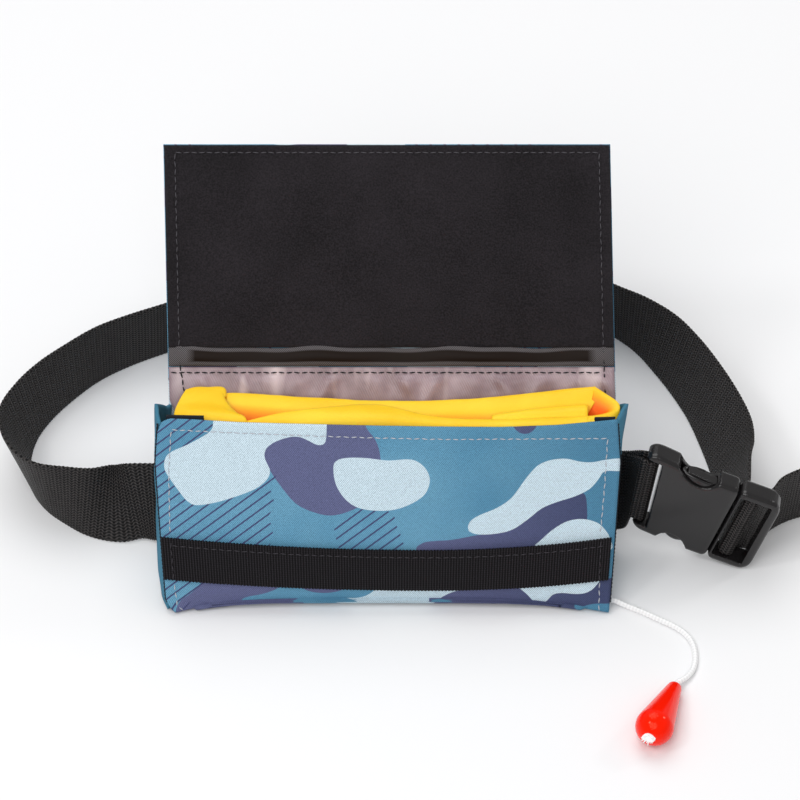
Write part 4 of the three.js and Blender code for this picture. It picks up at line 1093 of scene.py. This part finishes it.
strap = {
    "width": 38, "thick": 1.5, "loopWidth": 350, "loopDepth": 169, "rise": 5.5, "start": 48.5,
    # cross-section: width of the selvedge, its share of the thickness, and the flat's distance from the edge
    "spacing": 1.05, "selvedge": 0.35, "selvedgeShare": 0.72, "flatFrom": 1.2,
    "edgeRib": 0.35, "floorGap": 0.03,
    # behind the pouch: the run in the sleeve, then places across with how far the strap has dropped there
    "sleeve": (84, -106), "sleeveSteps": 10, "socketRise": 12.5, "drops": [(100, 1.6), (107.5, 2.4)],
    # beside the buckle's socket: place and lean of the leg that goes out, and of the one that comes back
    "legOut": ((112.0, 46.8, 14.6), (0.05, 0.34, 0.93)), "legBack": ((111.8, 44.4, 14.0), (0.06, 0.36, 0.93)),
    # lower edge: side and back are shares of the loop's half width and depth, rise is a share of the
    # strap's width, and lean (outwards) and skew (along the run) are degrees
    "loop": [
        (-0.670, -0.002, 0.065, -29, 0), (-0.720, -0.006, 0.020, -31, 0), (-0.775, 0.002, 0.010, -28, 0),
        (-0.830, 0.024, 0.010, -15, 0), (-0.885, 0.065, 0.010, -3, 0), (-0.932, 0.108, 0.010, 7, 0),
        (-0.968, 0.160, 0.010, 13, 0), (-0.995, 0.235, 0.010, 17, 0), (-1.002, 0.320, 0.010, 18, 0),
        (-0.990, 0.402, 0.010, 11, 0), (-0.955, 0.482, 0.010, 6, 0), (-0.903, 0.560, 0.010, 1.5, 0),
        (-0.829, 0.645, 0.010, -2, 0), (-0.743, 0.709, 0.010, -5, 0), (-0.646, 0.763, 0.010, -6.5, 0),
        (-0.486, 0.840, 0.010, -5, 0), (-0.257, 0.920, 0.010, -2, 0), (0.000, 0.975, 0.010, 0, 0),
        (0.228, 0.982, 0.010, 0, 0), (0.428, 0.950, 0.010, -2, 0), (0.571, 0.892, 0.010, -4, 0),
        (0.665, 0.822, 0.010, -3, 0), (0.720, 0.757, 0.010, 4, 0), (0.768, 0.670, 0.010, 14, 0),
        (0.809, 0.584, 0.010, 18, 0), (0.848, 0.483, 0.010, 21, 0), (0.878, 0.366, 0.010, 26, 0),
        (0.898, 0.262, 0.015, 28, 0), (0.906, 0.155, 0.070, 25, 0), (0.907, 0.068, 0.150, 20, 0)],
    "tail": [(0.992, -0.026, 0.020, -6, 9), (1.037, 0.034, 0.012, -5, 3), (1.089, 0.074, 0.010, -5, 0),
             (1.160, 0.104, 0.010, -4, 0)],
}


def routeStations(rows):
    points = []
    for side, back, rise, lean, skew in rows:
        points.append(Vector((side * strap["loopWidth"] / 2, strap["start"] + back * strap["loopDepth"],
                              rise * strap["width"])))
    found = []
    for i, (point, (side, back, rise, lean, skew)) in enumerate(zip(points, rows)):
        run = (points[min(i + 1, len(points) - 1)] - points[max(i - 1, 0)]).normalized()
        outward = Vector((0, 0, 1)).cross(run).normalized()
        upright = (Vector((0, 0, 1)) - run * run.z).normalized() + run * math.tan(math.radians(skew))
        lean = math.radians(lean)
        found.append((point, (upright * math.cos(lean) + outward * math.sin(lean)).normalized()))
    return found


def buckleAt(along, across, face):
    share = clamp(-(along + buckle["endFrom"]) / buckle["endLength"], 0, 1)
    share *= share * (3 - 2 * share)
    part = across / (strap["width"] / 2)
    along += share * (buckle["endShift"] + buckle["endSlant"] * part)
    across += share * (buckle["endRise"] + buckle["endFlare"] * part)
    return Vector(buckle["middle"]) + lengthAxis * along + widthAxis * across + faceAxis * face


def buckleStation(along, face):
    lower, upper = (buckleAt(along, side * strap["width"] / 2, face) for side in (-1, 1))
    return lower, (upper - lower).normalized()


def barTurn(bar, angles):
    out = buckle["barRadius"] + pouch["seatGap"] + strap["thick"] / 2
    turns = [math.radians(angle) for angle in angles]
    return [buckleStation(bar + out * math.cos(turn), out * math.sin(turn)) for turn in turns]


def beltStations():
    backRun = Vector((0, hinge.x - pouch["baseDepth"], hinge.y)).normalized()
    backOut = Vector((0, backRun.z, -backRun.y))
    inner = pouch["seatGap"] + strap["thick"] / 2
    outer = inner + strap["thick"] + pouch["seatGap"]
    out = buckle["barRadius"] + inner
    high, low = strap["socketRise"], strap["rise"]

    def behind(x, rise, lift):
        return Vector((x, pouch["baseDepth"], 0)) + backRun * (rise / backRun.z) + backOut * lift, backRun

    def leg(name):
        place, lean = strap[name]
        return Vector(place), Vector(lean).normalized()
    right, left = strap["sleeve"]
    run = [behind(right, high, outer)] + [behind(x, high - drop, outer) for x, drop in strap["drops"]]
    run += [leg("legOut"), buckleStation(socketBar - 3, 0.3 - out)]
    run += barTurn(socketBar, [-90 + 22.5 * k for k in range(9)])
    run += [buckleStation(socketBar - 3, out - 0.3), leg("legBack")]
    run += [behind(x, high - drop, inner) for x, drop in reversed(strap["drops"])]
    for k in range(strap["sleeveSteps"]):
        share = k / (strap["sleeveSteps"] - 1)
        run.append(behind(lerp(right, left, share), lerp(high, low, share), inner))
    run.append(behind(left - 4, low - 0.6, inner + 1))
    run += routeStations(strap["loop"])
    run += [buckleStation(plugBar - out, -9), buckleStation(plugBar - out, -4)]
    run += barTurn(plugBar, [180 - 22.5 * k for k in range(9)])
    run.append(buckleStation(plugBar + out + 0.3, -3))
    return run + routeStations(strap["tail"])


def beltPiece():
    # A band swept through the stations: its cross-section is a flat bar with round selvedges
    stations = beltStations()
    lower = [place for place, across in stations]
    upper = [place + across * strap["width"] for place, across in stations]
    last = len(stations) - 1
    places = []
    for i in range(last):
        length = max((lower[i + 1] - lower[i]).length, (upper[i + 1] - upper[i]).length)
        count = max(2, round(length / strap["spacing"]))
        for k in range(count + (i == last - 1)):
            t = (i + k / count) / last
            places.append((smoothPath(lower, t), smoothPath(upper, t)))
    steps = runLengths([(low + high) / 2 for low, high in places])
    half, thick = strap["width"] / 2, strap["thick"] / 2
    selvedge, flat = half - strap["selvedge"], half - strap["flatFrom"]
    section = [(-half, 0), (-selvedge, strap["selvedgeShare"])]
    section += [(lerp(-flat, flat, k / 6), 1) for k in range(7)]
    section += [(selvedge, strap["selvedgeShare"]), (half, 0)]
    section += [(a, -f) for a, f in reversed(section[1:-1])]
    rings = len(places) - 1
    bm = bmesh.new()
    bmesh.ops.create_grid(bm, x_segments=len(section), y_segments=rings, size=0.5)
    uvStrap = bm.loops.layers.uv.new("strap")
    for face in bm.faces:
        columns = [round((loop.vert.co.x + 0.5) * len(section)) for loop in face.loops]
        for loop, column in zip(face.loops, columns):
            i = round((loop.vert.co.y + 0.5) * rings)
            across = section[column % len(section)][0]
            loop[uvStrap].uv = (steps[i] * mm, across * mm)
    for vert in bm.verts:
        i = round((vert.co.y + 0.5) * rings)
        across, face = section[round((vert.co.x + 0.5) * len(section)) % len(section)]
        low, high = places[i]
        before, after = places[max(i - 1, 0)], places[min(i + 1, rings)]
        crossing = (high - low).normalized()
        run = (after[0] - before[0] + after[1] - before[1]).normalized()
        out = crossing.cross(run).normalized()
        proud = strap["edgeRib"] * (i % 2) if abs(across) > half - 0.5 else 0
        at = across + math.copysign(proud, across)
        vert.co = inFrame((low + high) / 2 + crossing * at + out * (face * thick))
        vert.co.z = max(vert.co.z, strap["floorGap"] * mm)
    closeTube(bm)
    finishPiece("beltStrap", bm, "webbing", ["belt"])
    return steps[-1]


print("belt made, mm:", round(beltPiece()))

# The buckle's halves keep the CAD's shape, with the soft edges that a mould leaves
moulding = {"voxel": 0.42, "softening": 4, "softShare": 0.5, "longEdge": 6, "cuts": 4}


def mouldedCopy(node, name):
    bm = bmesh.new()
    bm.from_mesh(nodes[node].data)
    bmesh.ops.remove_doubles(bm, verts=bm.verts[:], dist=0.01 * mm)
    longEdges = [edge for edge in bm.edges if edge.calc_length() > moulding["longEdge"] * mm]
    bmesh.ops.subdivide_edges(bm, edges=longEdges, cuts=moulding["cuts"])
    for vert in bm.verts:
        local = vert.co / mm - Vector((pouch["shiftX"], pouch["shiftY"], 0)) - Vector(buckle["middle"])
        vert.co = inFrame(buckleAt(local.dot(lengthAxis), local.dot(widthAxis), local.dot(faceAxis)))
    piece = finishPiece(name, bm, "buckle", [node])
    blocks = piece.modifiers.new("skin", "REMESH")
    blocks.mode = "VOXEL"
    blocks.voxel_size = moulding["voxel"] * mm
    blocks.use_smooth_shade = True
    soft = piece.modifiers.new("soft", "SMOOTH")
    soft.factor = moulding["softShare"]
    soft.iterations = moulding["softening"]
    made = piece.evaluated_get(bpy.context.evaluated_depsgraph_get())
    piece.data = bpy.data.meshes.new_from_object(made)
    piece.modifiers.clear()
    piece.data.materials.clear()
    piece.data.materials.append(materials["buckle"])
    for face in piece.data.polygons:
        face.use_smooth = True
    return piece


mouldedCopy("buckle_socket", "buckleSocketMoulded")
mouldedCopy("buckle_plug", "bucklePlugMoulded")

# Thumb pads of the plug's two prongs, in the socket's side windows: a raised rim round a hollow
pad = {
    "along": -7.6, "across": 17.4, "length": 8.4, "depth": 4.4, "height": 3.4, "crown": 0.45, "around": 48,
    "section": [(0, 0.2), (0.4, 0.22), (0.62, 0.34), (0.72, 0.66), (0.8, 0.86), (0.88, 0.9), (0.97, 0.7),
                (1.0, 0.3), (1.0, -0.6), (0, -0.6)],
}


def padPiece(name, hand):
    bm = spunShape(pad["section"], pad["around"])
    for vert in bm.verts:
        crown = 1 - pad["crown"] * vert.co.x ** 2
        across = hand * (pad["across"] + vert.co.z * pad["height"] * crown)
        along, face = pad["along"] + vert.co.x * pad["length"], vert.co.y * pad["depth"]
        vert.co = inFrame(buckleAt(along, across, face))
    bmesh.ops.recalc_face_normals(bm, faces=bm.faces[:])
    finishPiece(name, bm, "buckle")


padPiece("releasePadUpper", 1)
padPiece("releasePadLower", -1)
nodes["belt_sleeve"].data.materials.clear()
nodes["belt_sleeve"].data.materials.append(materials["teal"])
print("buckle made")


# Topstitching: small thread lenses laid along a line on the cloth
thread = {"pitch": 3.6, "fill": 0.86, "thick": 0.3, "wobble": 0.12, "flatness": 0.8, "samples": 200}


def stitchRow(bm, path, thick):
    # path is a function of a share from 0 to 1 that returns a CAD point and its outward direction
    count = thread["samples"]
    steps = runLengths([path(k / count)[0] for k in range(count + 1)])
    shares = np.linspace(0, 1, count + 1)
    stitches = max(1, round(steps[-1] / thread["pitch"]))
    size = Matrix.Diagonal((thread["pitch"] * thread["fill"] / 2, thick, thick * thread["flatness"], 1))
    for k in range(stitches):
        share = float(np.interp((k + 0.5) / stitches * steps[-1], steps, shares))
        point, out = path(share)
        run = (path(min(share + 0.004, 1))[0] - path(max(share - 0.004, 0))[0]).normalized()
        sideways = out.cross(run).normalized()
        run = (run + sideways * thread["wobble"] * (1 if k % 2 else -1)).normalized()
        out = run.cross(sideways).normalized() * (1 if out.dot(run.cross(sideways)) > 0 else -1)
        turn = Matrix((run, out.cross(run), out)).transposed().to_4x4()
        bmesh.ops.create_uvsphere(bm, u_segments=6, v_segments=4, radius=1,
                                  matrix=Matrix.Translation(point) @ turn @ size)


def clothLine(points, lift, onBody=False):
    # Straight runs between (x, reach) corners on the pouch cloth, in mm
    ends = [Vector(point) for point in points]

    def path(share):
        at = clamp(share, 0, 1) * (len(ends) - 1)
        i = min(int(at), len(ends) - 2)
        x, reach = ends[i].lerp(ends[i + 1], at - i)
        side = 2 * x / widthAt(reach)
        out = outwardAt(reach)
        proud = bodyLift(side, reach) if onBody else 0
        return clothPoint(side, reach, lift + proud), Vector((0, out.x, out.y)) * (1 if lift > -0.5 else -1)
    return path


def stitchPiece(name, rows, yarn, thick=thread["thick"]):
    bm = bmesh.new()
    for path in rows:
        stitchRow(bm, path, thick)
    toFrame(bm)
    finishPiece(name, bm, yarn)


hookLift = pouch["seatGap"] + hook["thick"] + 0.05
loopLift = inside - flap["loopThick"]
liningLift = inside - flap["liningThick"] - 0.1
loopSeam = loopEnd - flap["seamInset"]
liningSeam = liningTop - flap["seamInset"]
flapLow = ribbonStart + 2


def hookLine(down):
    def path(share):
        side = lerp(-0.955, 0.955, share)
        reach = hookTop + down + hookSag(side)
        out = outwardAt(reach)
        return clothPoint(side, reach, hookLift), Vector((0, out.x, out.y))
    return path


stitchPiece("stitchFront", [
    clothLine([(-99.5, 3.0), (-60, 4.2), (-20, 5.4), (30, 6.6), (70, 6.8), (101, 7.2)], 0.12, True),
    clothLine([(-99.5, 3.5), (-101, 24), (-101, 53)], 0.12, True),
    clothLine([(-99.5, 78), (-98.5, 88), (-95, 94)], 0.12, True),
    clothLine([(101, 7.2), (100, 30), (98.5, 53)], 0.12, True),
    clothLine([(98.5, 77), (98.5, 93)], 0.12, True)], "greyThread")
stitchPiece("stitchHook", [
    hookLine(3.2), clothLine([(-100.6, 56.5), (-99.6, 75.5)], hookLift),
    clothLine([(98.6, 56), (98.3, 76)], hookLift)], "tapeThread", thick=0.22)
stitchPiece("stitchFlap", [
    clothLine([(-flap["seamSide"], flapLow), (-flap["seamSide"], loopSeam)], loopLift),
    clothLine([(-flap["seamSide"], loopSeam), (flap["seamSide"], loopSeam)], loopLift),
    clothLine([(flap["seamSide"], loopSeam), (flap["seamSide"], flapLow)], loopLift)],
    "dullThread", thick=0.24)
stitchPiece("stitchLining", [
    clothLine([(-104, liningSeam), (98, liningSeam)], liningLift),
    clothLine([(-99.6, liningTop + 8), (-99.2, liningTop), (-97.5, liningTop - 12)], liningLift - 0.4),
    clothLine([(99.5, liningTop + 8), (99.7, liningTop), (100, liningTop - 13)], liningLift - 0.4)],
    "blackThread", thick=0.36)
print("stitching made")

# Studio: pale floor, white surround, two soft lamps and two small ones for highlights
studio = {
    "floorSize": 6.0, "surround": 0.45,
    # name, place, power in watts and width in metres
    "lamps": [
        ("overhead", (-0.2, 0.95, 2.1), 20.5, 1.9), ("front", (-0.5, -1.6, 2.0), 27.5, 1.9),
        ("highlightLeft", (-1.0, -0.55, 1.6), 4.5, 0.34), ("highlightRight", (1.54, 0.6, 1.12), 2.6, 0.28)],
}
bm = bmesh.new()
bmesh.ops.create_grid(bm, x_segments=2, y_segments=2, size=studio["floorSize"] / 2)
floorMesh = bpy.data.meshes.new("studioFloor")
bm.to_mesh(floorMesh)
bm.free()
studioFloor = bpy.data.objects.new("studioFloor", floorMesh)
floorMesh.materials.append(newMaterial(
    "floorPaper", Base_Color=hexColor("#efeff0"), Roughness=0.9, Specular_IOR_Level=0.1)[0])
scene.collection.objects.link(studioFloor)

world = bpy.data.worlds.new("studioSurround")
world.use_nodes = True
background = world.node_tree.nodes["Background"]
background.inputs["Color"].default_value = (1, 1, 1, 1)
background.inputs["Strength"].default_value = studio["surround"]
scene.world = world
scene.view_settings.view_transform = "Standard"


def softLight(name, place, power, size):  # aimed at the middle of the pack's base
    data = bpy.data.lights.new(name, "AREA")
    data.shape = "DISK"
    data.energy = power
    data.size = size
    light = bpy.data.objects.new(name, data)
    light.location = place
    light.rotation_euler = (-Vector(place)).to_track_quat("-Z", "Y").to_euler()
    scene.collection.objects.link(light)


for name, place, power, size in studio["lamps"]:
    softLight(name, place, power, size)
